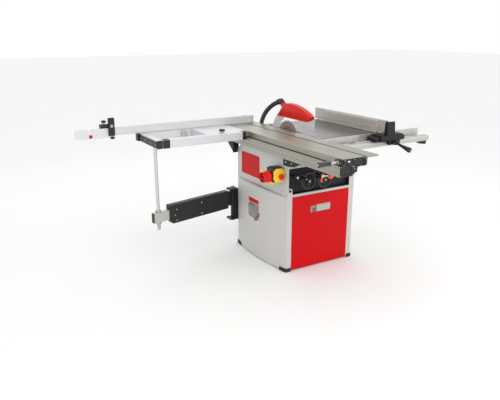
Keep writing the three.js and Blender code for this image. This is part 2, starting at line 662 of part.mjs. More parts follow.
const sawUnitPieces = () => {
  const group = assembly();
  const [cx, cy] = [blade.x, blade.y];
  const centre = [cy, arborZ];

  const housing = bar([cx + 12, ...centre], [pulley.x0 - 8, ...centre], 27, 24);
  const block = box([columns.x - 17, columns.x + 17], [125, 560], [710, 768]);
  const web = box([columns.x - 17, pulley.x0 - 14], [cy - 20, cy + 20], [760, 800]);
  const motorFace = box([motor.x0 - 12, motor.x0 - GAP], [cy - 60, cy + 108], [motor.z - 60, 742]);
  const knifeMount = box([cx + 1.8, columns.x - 15], [cy + 141, cy + 161], [arborZ - 74, arborZ - 46]);
  const motorArm = box([columns.x + 10, motor.x0 - 2], [cy + 76, cy + 108], [712, 742]);
  const boreRadius = columns.radius + 0.8;
  const bores = columns.ys.map((y) => bar([columns.x, y, 600], [columns.x, y, 900], boreRadius, 18));
  const unit = cut(
    join(housing, block, web, motorFace, motorArm, knifeMount),
    bar([cx, ...centre], [pulley.x1, ...centre], 13, 20),
    bar([motor.x0 - 20, cy, motor.z], [motor.x0 + 5, cy, motor.z], 20, 20),
    ...bores,
  );
  mesh(group, "lift_unit", unit, castIron);

  const half = blade.thick / 2;
  const shaft = bar([cx - 14, ...centre], [pulley.x1, ...centre], 12, 20);
  const arbor = join(
    shaft,
    bar([cx + half + GAP, ...centre], [cx + 10, ...centre], 28, 24),
    bar([cx - half - 5, ...centre], [cx - half - GAP, ...centre], 25, 24),
    bar([cx - 16, ...centre], [cx - half - 4, ...centre], 15, 6),
    bar([pulley.x0, ...centre], [pulley.x1, ...centre], pulley.radius, 24),
  );
  mesh(group, "arbor", arbor, steel);

  // Saw blade: a toothed disc with a bore.
  const teeth = [];
  const pitch = (2 * Math.PI) / blade.teeth;
  for (let n = 0; n < blade.teeth; n += 1) {
    const at = (radius, share) => {
      const angle = (n + share) * pitch;
      return [cy + radius * Math.cos(angle), arborZ + radius * Math.sin(angle)];
    };
    const root = blade.radius - 8;
    teeth.push(at(blade.radius, 0), at(blade.radius - 2, 0.3), at(root, 0.75), at(root, 0.95));
  }
  const disc = outline(teeth);
  const bore = new THREE.Path();
  bore.absarc(...centre, 12.4, 0, 2 * Math.PI, true);
  disc.holes.push(bore);
  mesh(group, "saw_blade", alongX(disc, cx - half, cx + half, 20), steel);

  const m = motor;
  const profile = [[0, 0], [m.radius, 0], [m.radius, 14]];
  for (let at = 22; at < 90; at += 16) {
    profile.push([m.radius - 6, at - 2], [m.radius - 6, at + 6], [m.radius, at + 6], [m.radius, at + 10]);
  }
  const long = m.x1 - m.x0;
  profile.push([m.radius - 4, 104], [m.radius, 106], [m.radius, long - 6], [m.radius - 8, long], [0, long]);
  const frame = new THREE.LatheGeometry(profile.map(([r, along]) => new THREE.Vector2(r, along)), 20)
    .rotateZ(-Math.PI / 2)
    .translate(m.x0, cy, m.z);
  const terminals = box([m.x0 + 30, m.x0 + 100], [cy + 40, cy + 78], [m.z - 34, m.z + 34]);
  mesh(group, "motor", join(frame, terminals), blackPaint);
  const drive = join(
    bar([pulley.x0, cy, m.z], [pulley.x1, cy, m.z], pulley.radius, 24),
    bar([pulley.x1 - 1, cy, m.z], [m.x0 - GAP, cy, m.z], 10, 16),
  );
  mesh(group, "motor_pulley", drive, steel);

  // Flat belt round the two pulleys.
  const loop = (radius) => {
    const shape = new THREE.Shape();
    shape.absarc(cy, arborZ, radius, 0, Math.PI, false);
    shape.absarc(cy, m.z, radius, Math.PI, 2 * Math.PI, false);
    shape.closePath();
    return shape;
  };
  const belt = loop(pulley.radius + 4.5);
  belt.holes.push(loop(pulley.radius + GAP));
  mesh(group, "drive_belt", alongX(belt, pulley.x0 + 3, pulley.x1 - 3, 14), rubber);
};

// Lower blade hood: half a drum round the blade, open at the top, with a pipe to the rear.
const ductRoute = [
  [243, 412, 700], [243, 470, 668], [243, 540, 650], [247, 610, 645], [256, 680, 652], [264, 730, 684],
  [hosePipe.x, 751, 730], [hosePipe.x, 756, 755], [hosePipe.x, 756, 763],
];
const guardPieces = () => {
  const group = assembly();
  const [cx, cy] = [blade.x, blade.y];
  const drum = (radius, top) => {
    const shape = new THREE.Shape();
    shape.moveTo(cy + radius, top);
    shape.lineTo(cy - radius, top);
    shape.absarc(cy, arborZ - 1, radius, Math.PI, 2 * Math.PI, false);
    return shape;
  };
  const radius = 134;
  const wall = 3;
  const top = arborZ;
  const pipe = (r) => tubeAlong(ductRoute, r, 12, 10);
  const hood = cut(
    join(alongX(drum(radius, top), cx - 26, cx + 24, 14), pipe(21)),
    alongX(drum(radius - wall, top + 1), cx - 23, cx + 21, 14),
    pipe(18),
    bar([cx, cy, arborZ], [cx + 30, cy, arborZ], 30, 20),
    box([cx - 3, cx + 3], [cy + 115, cy + 140], [arborZ - 50, arborZ + 1]),
  );
  mesh(group, "blade_hood", hood, blackPaint);

  // Riving knife: follows the blade behind it and carries the upper guard.
  const near = blade.radius + knifeGap;
  const knife = new THREE.Shape();
  const toAngle = (degrees) => THREE.MathUtils.degToRad(degrees);
  knife.absarc(cy, arborZ, near, toAngle(-8), toAngle(66), false);
  knife.lineTo(cy + 50, arborZ + 168);
  knife.lineTo(cy + 66, arborZ + 172);
  knife.lineTo(cy + 88, arborZ + 146);
  knife.lineTo(cy + 122, arborZ + 138);
  knife.absarc(cy, arborZ, near + 62, toAngle(45), toAngle(8), true);
  knife.lineTo(cy + near + 30, arborZ - 46);
  knife.lineTo(cy + near + 6, arborZ - 46);
  knife.closePath();
  const boltAt = [cy + 64, arborZ + 158];
  const knifeBody = cut(
    alongX(knife, cx - 1.4, cx + 1.4, 10),
    bar([cx - 5, ...boltAt], [cx + 5, ...boltAt], 5.2, 14),
  );
  mesh(group, "riving_knife", knifeBody, steel);

  // Upper guard: a hollow fin, open below, turning on its bolt.
  const z = tableTop;
  const profile = new THREE.Shape();
  profile.moveTo(474, z + 84);
  profile.lineTo(132, z + 87);
  profile.quadraticCurveTo(92, z + 96, 88, z + 118);
  profile.bezierCurveTo(130, z + 146, 235, z + 184, 340, z + 182);
  profile.quadraticCurveTo(384, z + 180, 402, z + 160);
  const inside = new THREE.Shape();
  inside.moveTo(467, z + 80);
  inside.lineTo(134, z + 80);
  inside.lineTo(98, z + 114);
  inside.bezierCurveTo(136, z + 142, 238, z + 180, 340, z + 178);
  inside.quadraticCurveTo(380, z + 176, 397, z + 158);
  const halfWide = guardWide / 2;
  const guard = cut(
    join(
      alongX(profile, cx - halfWide, cx + halfWide, 10),
      bar([cx - halfWide - 4, ...boltAt], [cx + halfWide + 4, ...boltAt], 9, 14),
      bar([cx, 394, z + 140], [cx, ...spigotEnd], hosePipe.radius + 3, 16),
    ),
    alongX(inside, cx - halfWide + 3, cx + halfWide - 3, 10),
    bar([cx, 386, z + 132.8], [cx, 432, z + 174.2], hosePipe.radius - 1, 16),
    box([cx - 3, cx + 3], [425, 480], [z + 78, z + 112]),
  );
  const bolt = bar([cx - halfWide + 1, ...boltAt], [cx + halfWide - 1, ...boltAt], 4.6, 14);
  mesh(group, "blade_guard", join(guard, bolt), redPlastic);
};

// Stiff bend on the guard, then the hose down to the pipe behind the table.
const elbowRoute = [
  [243, 423.5, 1036.6], [243.2, 430.5, 1042.8], [247, 446, 1050.5], [254, 464, 1053], [260.5, 482, 1050.5],
  [265.5, 499, 1045.6], [266, 507, 1042.8],
];
const hoseRoute = [
  [266, 508.4, 1042.3], [266, 545, 1029], [266, 583, 1013], [266, 620, 993], [266, 655, 969.5],
  [266, 686, 942.5], [266, 712, 912.5], [266, 732.5, 879], [266, 746.5, 843], [266, 754, 806],
  [266, 756, 782], [266, 756, 765],
];
const hosePieces = () => {
  const group = assembly();
  mesh(group, "guard_elbow", tubeAlong(elbowRoute, hosePipe.radius + 1, 10, 12), rubber);
  mesh(group, "dust_hose", tubeAlong(hoseRoute, hosePipe.radius, 12, 10), rubber);
};

cabinetPieces();
switchGear();
controlPieces();
beamPieces();
slidingPieces();
crosscutPieces();
supportArmPieces();
tablePieces();
ripFencePieces();
tiltPieces();
sawUnitPieces();
guardPieces();
hosePieces();

// The origin: middle of the footprint, on the floor.
machine.updateMatrixWorld(true);
const bounds = new THREE.Box3().setFromObject(machine);
const middle = bounds.getCenter(new THREE.Vector3());
machine.position.set(-middle.x, -middle.y, -bounds.min.z);

export default machine;
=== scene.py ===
import math

import bmesh
import bpy
from mathutils import Matrix, Vector


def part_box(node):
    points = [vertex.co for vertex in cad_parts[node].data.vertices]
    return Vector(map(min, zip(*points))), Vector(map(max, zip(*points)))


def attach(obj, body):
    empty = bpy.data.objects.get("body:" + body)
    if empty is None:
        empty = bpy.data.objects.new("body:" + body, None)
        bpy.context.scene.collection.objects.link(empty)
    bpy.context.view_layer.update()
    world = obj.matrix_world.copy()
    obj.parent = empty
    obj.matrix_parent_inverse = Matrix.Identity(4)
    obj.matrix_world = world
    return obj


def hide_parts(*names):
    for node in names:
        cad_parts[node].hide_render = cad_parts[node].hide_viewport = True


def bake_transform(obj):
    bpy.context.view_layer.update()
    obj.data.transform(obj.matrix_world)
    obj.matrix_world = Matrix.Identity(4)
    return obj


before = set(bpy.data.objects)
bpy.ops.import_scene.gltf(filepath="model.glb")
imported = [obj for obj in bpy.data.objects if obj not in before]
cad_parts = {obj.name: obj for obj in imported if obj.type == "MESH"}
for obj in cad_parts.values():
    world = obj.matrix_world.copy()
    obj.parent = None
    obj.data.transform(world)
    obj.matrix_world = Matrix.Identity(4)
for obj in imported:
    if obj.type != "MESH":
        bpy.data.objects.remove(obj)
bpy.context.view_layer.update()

MM = 0.001
CABINET_CORNER = Vector((*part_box("upper_cabinet")[0].xy, 0.0))
TO_ROW = Matrix.Translation(CABINET_CORNER) @ Matrix.Scale(MM, 4)
FROM_ROW = TO_ROW.inverted()

RIGHT = Vector((1, 0, 0))
BACK = Vector((0, 1, 0))
UP = Vector((0, 0, 1))
GAP = 0.3


def at(x, y, z):
    """A point of the cabinet's frame, in the row frame and in metres."""
    return TO_ROW @ Vector((x, y, z))


class Span:
    """A CAD node's box in the cabinet's frame, in millimetres."""

    def __init__(self, node):
        lo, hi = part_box(node)
        self.x0, self.y0, self.z0 = FROM_ROW @ lo
        self.x1, self.y1, self.z1 = FROM_ROW @ hi
        self.x = (self.x0, self.x1)
        self.y = (self.y0, self.y1)
        self.z = (self.z0, self.z1)


# ---- camera: the photograph's viewpoint, 30.8 degrees round to the left and 17.2 degrees down ----
def make_camera():
    data = bpy.data.cameras.new("camera")
    data.sensor_width = 36
    data.lens = 39.95
    camera = bpy.data.objects.new("camera", data)
    camera.location = at(-1912.9, -2749.2, 1531.4)
    yaw = math.radians(-30.795)
    down = math.radians(17.177)
    camera.rotation_euler = (math.pi / 2 - down, 0, yaw)
    data.clip_start = 0.05
    data.clip_end = 60
    bpy.context.scene.collection.objects.link(camera)
    bpy.context.scene.camera = camera


make_camera()


# ---- outlines: closed lists of points in a plane ----
def arc(centre_a, centre_b, radius, start, end, steps=8):
    """Points on an arc, from one angle to another, in degrees."""
    angles = [math.radians(start + (end - start) * n / steps) for n in range(steps + 1)]
    return [(centre_a + radius * math.cos(t), centre_b + radius * math.sin(t)) for t in angles]


def circle(centre_a, centre_b, radius, steps=32):
    return arc(centre_a, centre_b, radius, 0, 360, steps)[:-1]


def rectangle(a, b):
    return [(a[0], b[0]), (a[1], b[0]), (a[1], b[1]), (a[0], b[1])]


def fillet(points, radius, steps=4):
    """The closed outline with each corner rounded."""
    rounded = []
    for n, point in enumerate(points):
        corner = Vector(point)
        behind = Vector(points[n - 1]) - corner
        ahead = Vector(points[(n + 1) % len(points)]) - corner
        half = behind.angle(ahead) / 2
        reach = min(radius / math.tan(half), 0.48 * behind.length, 0.48 * ahead.length)
        own = reach * math.tan(half)
        middle = corner + (behind.normalized() + ahead.normalized()).normalized() * (own / math.sin(half))
        first = corner + behind.normalized() * reach - middle
        last = corner + ahead.normalized() * reach - middle
        for step in range(steps + 1):
            spoke = first.lerp(last, step / steps).normalized() * own
            rounded.append(tuple(middle + spoke))
    return rounded


def grooved(start, end, places, width=1.6, depth=1.1):
    """A straight edge with V grooves at these distances along it, on the right of its way.

    It leaves out its end.
    """
    start, end = Vector(start), Vector(end)
    way = (end - start).normalized()
    inward = Vector((way.y, -way.x))
    points = [start]
    for place in places:
        middle = start + way * place
        points += [middle - way * width / 2, middle + inward * depth, middle + way * width / 2]
    return [tuple(p) for p in points]


# ---- solids, added to a bmesh in millimetres ----
def lifted(axis, a, b, along):
    """A point of an outline at its place along the axis."""
    return {"x": (along, a, b), "y": (a, along, b), "z": (a, b, along)}[axis]


def prism(bm, axis, outline, start, end, holes=()):
    """An outline extruded along an axis. Outlines are (Y, Z) along x, (X, Z) along y and (X, Y) along z."""
    ends = []
    for along in (start, end):
        rings = [[bm.verts.new(lifted(axis, a, b, along)) for a, b in loop] for loop in (outline, *holes)]
        if holes:
            edges = [bm.edges.new(pair) for ring in rings for pair in zip(ring, ring[1:] + ring[:1])]
            bmesh.ops.triangle_fill(bm, edges=edges, use_beauty=True)
        else:
            bm.faces.new(rings[0])
        ends.append(rings)
    for near, far in zip(*ends):
        for n in range(len(near)):
            bm.faces.new((near[n - 1], near[n], far[n], far[n - 1]))


def box(bm, x, y, z):
    prism(bm, "z", rectangle(x, y), *z)


def basis(direction):
    way = Vector(direction).normalized()
    side = way.orthogonal().normalized()
    return side, way.cross(side), way


def polygon_radius(radius, sides, angle):
    """How far a polygon's edge is from its middle at an angle. No sides means a circle."""
    if not sides:
        return radius
    step = 2 * math.pi / sides
    return radius * math.cos(step / 2) / math.cos(angle % step - step / 2)


def bridge(bm, near, far):
    """Joins two rings of points. A ring of one point is a tip."""
    count = max(len(near), len(far))
    for n in range(count):
        corners = [near[n - 1], near[n], far[n], far[n - 1]] if len(near) == len(far) else None
        if len(near) == 1:
            corners = [near[0], far[n], far[n - 1]]
        elif len(far) == 1:
            corners = [near[n - 1], near[n], far[0]]
        bm.faces.new(corners)


def lathe(bm, centre, direction, profile, steps=32, closed=False):
    """A turned body. profile has (radius, place along the direction) and may have a polygon's sides."""
    side, other, way = basis(direction)
    rings = []
    for radius, along, *sides in profile:
        middle = Vector(centre) + way * along
        ring = []
        for n in range(steps if radius else 1):
            angle = 2 * math.pi * n / steps
            reach = polygon_radius(radius, sides[0] if sides else 0, angle)
            ring.append(bm.verts.new(middle + (side * math.cos(angle) + other * math.sin(angle)) * reach))
        rings.append(ring)
    for near, far in zip(rings, rings[1:] + (rings[:1] if closed else [])):
        bridge(bm, near, far)
    if not closed:
        for ring in (rings[0], rings[-1]):
            if len(ring) > 1:
                bm.faces.new(ring)


def smooth_line(points, spacing):
    """Points a spacing apart on a Catmull-Rom curve through the given ones."""
    knots = [Vector(p) for p in points]
    knots = [2 * knots[0] - knots[1], *knots, 2 * knots[-1] - knots[-2]]
    line = []
    for p0, p1, p2, p3 in zip(knots, knots[1:], knots[2:], knots[3:]):
        steps = max(2, round((p2 - p1).length / spacing))
        for n in range(steps):
            t = n / steps
            line.append(
                0.5 * (2 * p1 + (p2 - p0) * t + (2 * p0 - 5 * p1 + 4 * p2 - p3) * t**2
                       + (3 * p1 - p0 - 3 * p2 + p3) * t**3)
            )
    return [*line, knots[-2]]


def sweep(bm, line, radius_at, steps=20):
    """A round bar along a line. radius_at gives its radius from the length run and the angle round it."""
    line = [Vector(p) for p in line]
    tangents = [(b - a).normalized() for a, b in zip([line[0], *line], [*line[1:], line[-1]])]
    side = tangents[1].orthogonal().normalized()
    run = 0.0
    rings = []
    for n, (point, tangent) in enumerate(zip(line, tangents)):
        run += (point - line[n - 1]).length if n else 0.0
        side = (side - tangent * side.dot(tangent)).normalized()
        other = tangent.cross(side)
        angles = [2 * math.pi * k / steps for k in range(steps)]
        spokes = [(side * math.cos(t) + other * math.sin(t)) * radius_at(run, t) for t in angles]
        rings.append([bm.verts.new(point + spoke) for spoke in spokes])
    for near, far in zip(rings, rings[1:]):
        bridge(bm, near, far)
    bm.faces.new(rings[0])
    bm.faces.new(rings[-1])


def rod(bm, start, end, radius, steps=24, edge=0.8):
    """A straight round bar with its ends' edges taken off."""
    run = Vector(end) - Vector(start)
    profile = [(radius - edge, 0), (radius, edge), (radius, run.length - edge), (radius - edge, run.length)]
    lathe(bm, start, run, profile, steps)


def bolt(bm, seat, direction, radius):
    """A button head with a hexagon socket, its seat at a point and its head along the direction."""
    lathe(
        bm, seat, direction,
        [(radius, 0), (radius, 0.25 * radius), (0.85 * radius, 0.5 * radius), (0.6 * radius, 0.62 * radius),
         (0.5 * radius, 0.62 * radius, 6), (0.5 * radius, 0.2 * radius, 6)],
        24,
    )


def nut(bm, seat, direction, radius, high):
    """A hexagon nut or bolt head with its corners taken off."""
    chamfer = 0.12 * radius
    lathe(
        bm, seat, direction,
        [(0.88 * radius, 0), (radius, chamfer, 6), (radius, high - chamfer, 6), (0.88 * radius, high)],
        24,
    )


# ---- pieces ----
SMOOTH_BELOW = math.radians(35)


def soften(piece, width, segments=2):
    bevel = piece.modifiers.new("soft edges", "BEVEL")
    bevel.width = width * MM
    bevel.segments = segments
    bevel.limit_method = "ANGLE"
    bevel.angle_limit = SMOOTH_BELOW
    bevel.harden_normals = True


def piece(name, bm, look, body, edge=0.0, segments=2, replaces=(), slot=None):
    """Turns a bmesh in the cabinet's frame into a piece that rides on a body."""
    bmesh.ops.remove_doubles(bm, verts=bm.verts, dist=1e-4)
    bmesh.ops.recalc_face_normals(bm, faces=bm.faces)
    bm.transform(TO_ROW)
    mesh = bpy.data.meshes.new(name)
    bm.to_mesh(mesh)
    bm.free()
    mesh.shade_smooth()
    if edge == 0.0:
        mesh.set_sharp_from_angle(angle=SMOOTH_BELOW)
    mesh.materials.append(look)
    made = bpy.data.objects.new(name, mesh)
    bpy.context.scene.collection.objects.link(made)
    if edge:
        soften(made, edge, segments)
    if body:
        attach(made, body)
    if replaces:
        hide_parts(*replaces)
    return made


def built(name, look, body, *parts, edge=0.0, segments=2, replaces=(), slot=None):
    """A piece made of parts, each a shape function with what it takes after the bmesh."""
    bm = bmesh.new()
    for shape, *values in parts:
        shape(bm, *values)
    return piece(name, bm, look, body, edge, segments, replaces, slot)


def bolts(name, look, body, places, direction, radius, head=bolt):
    bm = bmesh.new()
    for place in places:
        head(bm, place, direction, radius)
    return piece(name, bm, look, body)


# ---- materials ----
def rgb(code):
    """A linear colour from an sRGB hex code."""
    values = [int(code[n : n + 2], 16) / 255 for n in (0, 2, 4)]
    return (*[v / 12.92 if v <= 0.04045 else ((v + 0.055) / 1.055) ** 2.4 for v in values], 1.0)


def shade(colour, factor):
    return (*[min(1.0, c * factor) for c in colour[:3]], 1.0)


class Look:
    """One node-based material. Feature sizes are in millimetres on the real thing."""

    def __init__(self, name, roughness, metallic=0.0, coat=0.0, specular=0.5):
        self.material = bpy.data.materials.new(name)
        self.material.use_nodes = True
        self.tree = self.material.node_tree
        self.shader = self.tree.nodes["Principled BSDF"]
        self.shader.inputs["Roughness"].default_value = roughness
        self.shader.inputs["Metallic"].default_value = metallic
        self.shader.inputs["Coat Weight"].default_value = coat
        self.shader.inputs["Coat Roughness"].default_value = 0.12
        self.shader.inputs["Specular IOR Level"].default_value = specular
        self.place = self.node("ShaderNodeTexCoord").outputs["Object"]
        self.normal = None

    def node(self, kind, inputs=None, **settings):
        made = self.tree.nodes.new(kind)
        for key, value in settings.items():
            setattr(made, key, value)
        for key, value in (inputs or {}).items():
            if isinstance(value, bpy.types.NodeSocket):
                self.tree.links.new(value, made.inputs[key])
            else:
                made.inputs[key].default_value = value
        return made

    def feed(self, name, value):
        self.tree.links.new(value, self.shader.inputs[name])

    def noise(self, size, detail=2.0, stretch=(1, 1, 1), place=None):
        """Noise with features of this size; stretch draws them out along an axis."""
        scaled = self.node(
            "ShaderNodeMapping",
            {"Vector": place or self.place, "Scale": [1 / (size * MM * s) for s in stretch]},
        ).outputs["Vector"]
        inputs = {"Vector": scaled, "Scale": 1.0, "Detail": detail, "Roughness": 0.55}
        return self.node("ShaderNodeTexNoise", inputs).outputs[0]

    def between(self, value, low, high, to_low=0.0, to_high=1.0):
        inputs = {"Value": value, "From Min": low, "From Max": high, "To Min": to_low, "To Max": to_high}
        return self.node("ShaderNodeMapRange", inputs).outputs["Result"]

    def maths(self, operation, a, b):
        return self.node("ShaderNodeMath", {0: a, 1: b}, operation=operation).outputs[0]

    def mix(self, factor, a, b):
        return self.node("ShaderNodeMix", {0: factor, 6: a, 7: b}, data_type="RGBA").outputs[2]

    def bump(self, height, depth, strength=1.0):
        """Adds relief this deep, on top of any before."""
        inputs = {"Height": height, "Distance": depth * MM, "Strength": strength}
        if self.normal:
            inputs["Normal"] = self.normal
        self.normal = self.node("ShaderNodeBump", inputs).outputs["Normal"]
        self.feed("Normal", self.normal)

    def edges(self, radius):
        """1 on sharp edges and 0 on flat parts."""
        rounded = self.node("ShaderNodeBevel", {"Radius": radius * MM}, samples=4).outputs["Normal"]
        flat = self.node("ShaderNodeNewGeometry").outputs["Normal"]
        likeness = self.node("ShaderNodeVectorMath", {0: rounded, 1: flat}, operation="DOT_PRODUCT")
        return self.between(likeness.outputs["Value"], 0.985, 0.86)

    def worn(self, colour, bare, radius, amount):
        """The colour with its edges rubbed down to a bare one in patches."""
        patches = self.between(self.noise(9, 4), 0.62 - amount, 0.72 - amount * 0.5)
        mask = self.maths("MULTIPLY", self.edges(radius), patches)
        return self.mix(mask, colour, bare)


def paint(
    name, code, roughness, peel=1.1, depth=0.03, bare="b9b8b4", wear=0.12, coat=0.0, mottle=0.05,
    specular=0.5
):
    """Powder coat or enamel: fine orange peel, faint mottling, dust and rubbed edges."""
    look = Look(name, roughness, coat=coat, specular=specular)
    base = rgb(code)
    tone = look.mix(look.noise(240, 3), shade(base, 1 - mottle), shade(base, 1 + mottle))
    dust = look.between(look.noise(28, 6), 0.56, 0.8, 0.0, 0.22)
    tone = look.mix(dust, tone, shade(base, 0.9))
    if wear:
        tone = look.worn(tone, rgb(bare), 0.9, wear)
    look.feed("Base Color", tone)
    look.feed("Roughness", look.between(look.noise(60, 4), 0.3, 0.7, roughness - 0.05, roughness + 0.07))
    look.bump(look.noise(peel, 2), depth)
    return look.material


def plastic(name, code, roughness, grain=0.5, depth=0.02, coat=0.0, worn="8a8a8a", specular=0.5):
    """Moulded plastic: a fine spark-eroded grain, slight sink marks and scuffed edges."""
    look = Look(name, roughness, coat=coat, specular=specular)
    base = rgb(code)
    tone = look.mix(look.noise(22, 3), shade(base, 0.93), shade(base, 1.07))
    scuffs = look.maths("MULTIPLY", look.edges(0.7), look.between(look.noise(4, 4), 0.5, 0.68, 0.0, 0.35))
    look.feed("Base Color", look.mix(scuffs, tone, rgb(worn)))
    look.feed("Roughness", look.between(look.noise(12, 4), 0.3, 0.7, roughness - 0.06, roughness + 0.08))
    look.bump(look.noise(grain, 1), depth)
    look.bump(look.noise(16, 1), 0.12)
    return look.material


def metal(name, code, roughness, grain, along, depth=0.012, mottle=0.06, metallic=1.0, marks=0.3):
    """Drawn, ground or anodised metal, with fine lines along a direction and soft stains."""
    look = Look(name, roughness, metallic)
    base = rgb(code)
    lines = look.noise(grain, 3, along)
    stains = look.noise(90, 4)
    tone = look.mix(lines, shade(base, 1 - mottle), shade(base, 1 + mottle))
    tone = look.mix(look.between(stains, 0.45, 0.8, 0.0, marks), tone, shade(base, 0.8))
    look.feed("Base Color", tone)
    rough = look.between(look.maths("ADD", lines, stains), 0.7, 1.3, roughness - 0.06, roughness + 0.08)
    look.feed("Roughness", rough)
    look.bump(lines, depth)
    return look.material


def blade_steel(name, centre):
    """Ground disc: fine rings about the arbor, turning darker and browner towards the flange."""
    look = Look(name, 0.26, 1.0)
    away = look.node("ShaderNodeVectorMath", {0: look.place, 1: centre}, operation="SUBTRACT").outputs[0]
    flat = look.node("ShaderNodeVectorMath", {0: away, 1: (0, 1, 1)}, operation="MULTIPLY").outputs[0]
    radius = look.node("ShaderNodeVectorMath", {0: flat}, operation="LENGTH").outputs["Value"]
    line = look.node("ShaderNodeCombineXYZ", {0: radius}).outputs[0]
    rings = look.noise(1.3, 4, place=line)
    wide = look.between(look.noise(9, 2, place=line), 0.42, 0.6, 0.0, 0.75)
    tone = look.mix(rings, rgb("8f887e"), rgb("ece7df"))
    tone = look.mix(wide, tone, rgb("6d5d4f"))
    # Darker and browner from 105 mm in towards the arbor.
    brown = look.between(radius, 0.105, 0.05, 0.0, 0.6)
    look.feed("Base Color", look.mix(brown, tone, rgb("7c5040")))
    look.feed("Roughness", look.between(rings, 0.3, 0.7, 0.2, 0.36))
    look.bump(rings, 0.02)
    return look.material


def hose_rubber(name):
    look = Look(name, 0.38, specular=0.6)
    tone = look.mix(look.noise(30, 4), rgb("141416"), rgb("232325"))
    dust = look.between(look.noise(7, 5), 0.58, 0.8, 0.0, 0.3)
    look.feed("Base Color", look.mix(dust, tone, rgb("55534f")))
    look.feed("Roughness", look.between(look.noise(14, 4), 0.3, 0.7, 0.32, 0.5))
    look.bump(look.noise(0.8, 2), 0.02)
    return look.material


def printed_plate(name, corner, across, high, ground, colours):
    """A printed plate. Its plain blocks of colour are laid out by the plate's own width and height."""
    look = Look(name, 0.3, coat=0.3)
    local = look.node("ShaderNodeVectorMath", {0: look.place, 1: corner}, operation="SUBTRACT").outputs[0]
    parts = look.node("ShaderNodeSeparateXYZ", {0: local}).outputs
    share_a = look.maths("DIVIDE", parts[across[0]], across[1] * MM)
    share_b = look.maths("DIVIDE", parts[2], high * MM)
    slanted = look.maths("ADD", share_a, share_b)
    tone = look.mix(look.noise(3, 5), shade(rgb(ground), 0.94), shade(rgb(ground), 1.04))
    for kind, low, high_end, limit, code in colours:
        value = {"rows": share_b, "columns": share_a, "slant": slanted}[kind]
        inside = look.maths(
            "MULTIPLY", look.maths("GREATER_THAN", value, low), look.maths("LESS_THAN", value, high_end)
        )
        other = share_a if kind == "rows" else share_b
        bounds = look.maths(
            "MULTIPLY", look.maths("GREATER_THAN", other, limit[0]),
            look.maths("LESS_THAN", other, limit[1])
        )
        tone = look.mix(look.maths("MULTIPLY", inside, bounds), tone, rgb(code))
    look.feed("Base Color", tone)
    look.bump(look.noise(2, 3), 0.01)
    return look.material


ALONG_X = (60, 1, 1)
ALONG_Y = (1, 60, 1)
ALONG_Z = (1, 1, 40)

GREY_PAINT = paint("grey_powder_coat", "c6c4c0", 0.42, mottle=0.025, wear=0.06, bare="efeeea")
RED_PAINT = paint(
    "red_powder_coat", "c8040d", 0.36, mottle=0.06, coat=0.05, bare="e05048", wear=0.05, specular=0.12
)
BLACK_PAINT = paint(
    "black_powder_coat", "222223", 0.46, peel=1.4, depth=0.05, bare="6b6a67", wear=0.12, specular=0.4
)
BLACK_CASTING = paint(
    "black_casting", "171718", 0.5, peel=2.2, depth=0.09, bare="4c4b49", wear=0.1, specular=0.35
)
MOTOR_PAINT = paint("motor_enamel", "34363a", 0.4, peel=2.5, depth=0.08)
BLACK_PLASTIC = plastic("black_plastic", "1b1b1d", 0.42)
GLOSS_BLACK = plastic("gloss_black_plastic", "231c1a", 0.2, grain=3, depth=0.01, coat=0.6)
RED_PLASTIC = plastic("red_plastic", "dc0d12", 0.3, coat=0.12, worn="f0706a", specular=0.25)
GUARD_RED = plastic(
    "guard_red_plastic", "d91209", 0.33, grain=0.9, depth=0.03, coat=0.08, worn="e85a4a", specular=0.25
)
ORANGE_PLASTIC = plastic("orange_plastic", "f0521a", 0.22, coat=0.6, worn="ff9a60")
YELLOW_PLASTIC = plastic("yellow_plastic", "f6cf1b", 0.34, coat=0.2, worn="fff0a0")
ALUMINIUM_Y = metal("anodised_along", "a9a79c", 0.36, 0.7, ALONG_Y, metallic=0.85)
ALUMINIUM_X = metal("anodised_across", "c4c3be", 0.34, 0.7, ALONG_X, metallic=0.6)
FENCE_ALUMINIUM = metal("anodised_fence", "bdbab2", 0.4, 0.7, ALONG_Y, metallic=0.3, marks=0.15)
WHITE_ALUMINIUM_X = metal(
    "bright_anodised_across", "dcdde0", 0.42, 0.7, ALONG_X, metallic=0.35, mottle=0.025, marks=0.12
)
WHITE_ALUMINIUM_Y = metal(
    "bright_anodised_along", "d8d9d9", 0.42, 0.7, ALONG_Y, metallic=0.35, mottle=0.025, marks=0.12
)
CAST_IRON = metal("ground_cast_iron", "7b7975", 0.22, 0.5, (1, 30, 1), depth=0.02, mottle=0.2, marks=0.7)
RAW_IRON = paint("raw_casting", "5f6062", 0.55, peel=3, depth=0.15, wear=0.2)
STEEL = metal("zinc_plated_steel", "b9bbbc", 0.3, 0.6, (1, 1, 1), mottle=0.08)
KNIFE_STEEL = metal("ground_knife_steel", "dedddb", 0.34, 0.5, ALONG_Z, mottle=0.05, metallic=0.5)
CHROME = metal("chrome", "d2d1cf", 0.09, 1.2, ALONG_Z, depth=0.002, mottle=0.02, marks=0.08)
RUBBER = paint("rubber", "1c1c1e", 0.68, peel=0.8, depth=0.05, wear=0, mottle=0.1)
HOSE_RUBBER = hose_rubber("hose_rubber")


# ---- dust hose: the one flexible piece. Its route repeats the CAD model's, from the elbow to the pipe ----
HOSE_ROUTE = [
    (266, 508.4, 1042.3), (266, 545, 1029), (266, 583, 1013), (266, 620, 993), (266, 655, 969.5),
    (266, 686, 942.5), (266, 712, 912.5), (266, 732.5, 879), (266, 746.5, 843), (266, 754, 806),
    (266, 756, 782), (266, 756, 765),
]
HOSE_RADIUS = 16


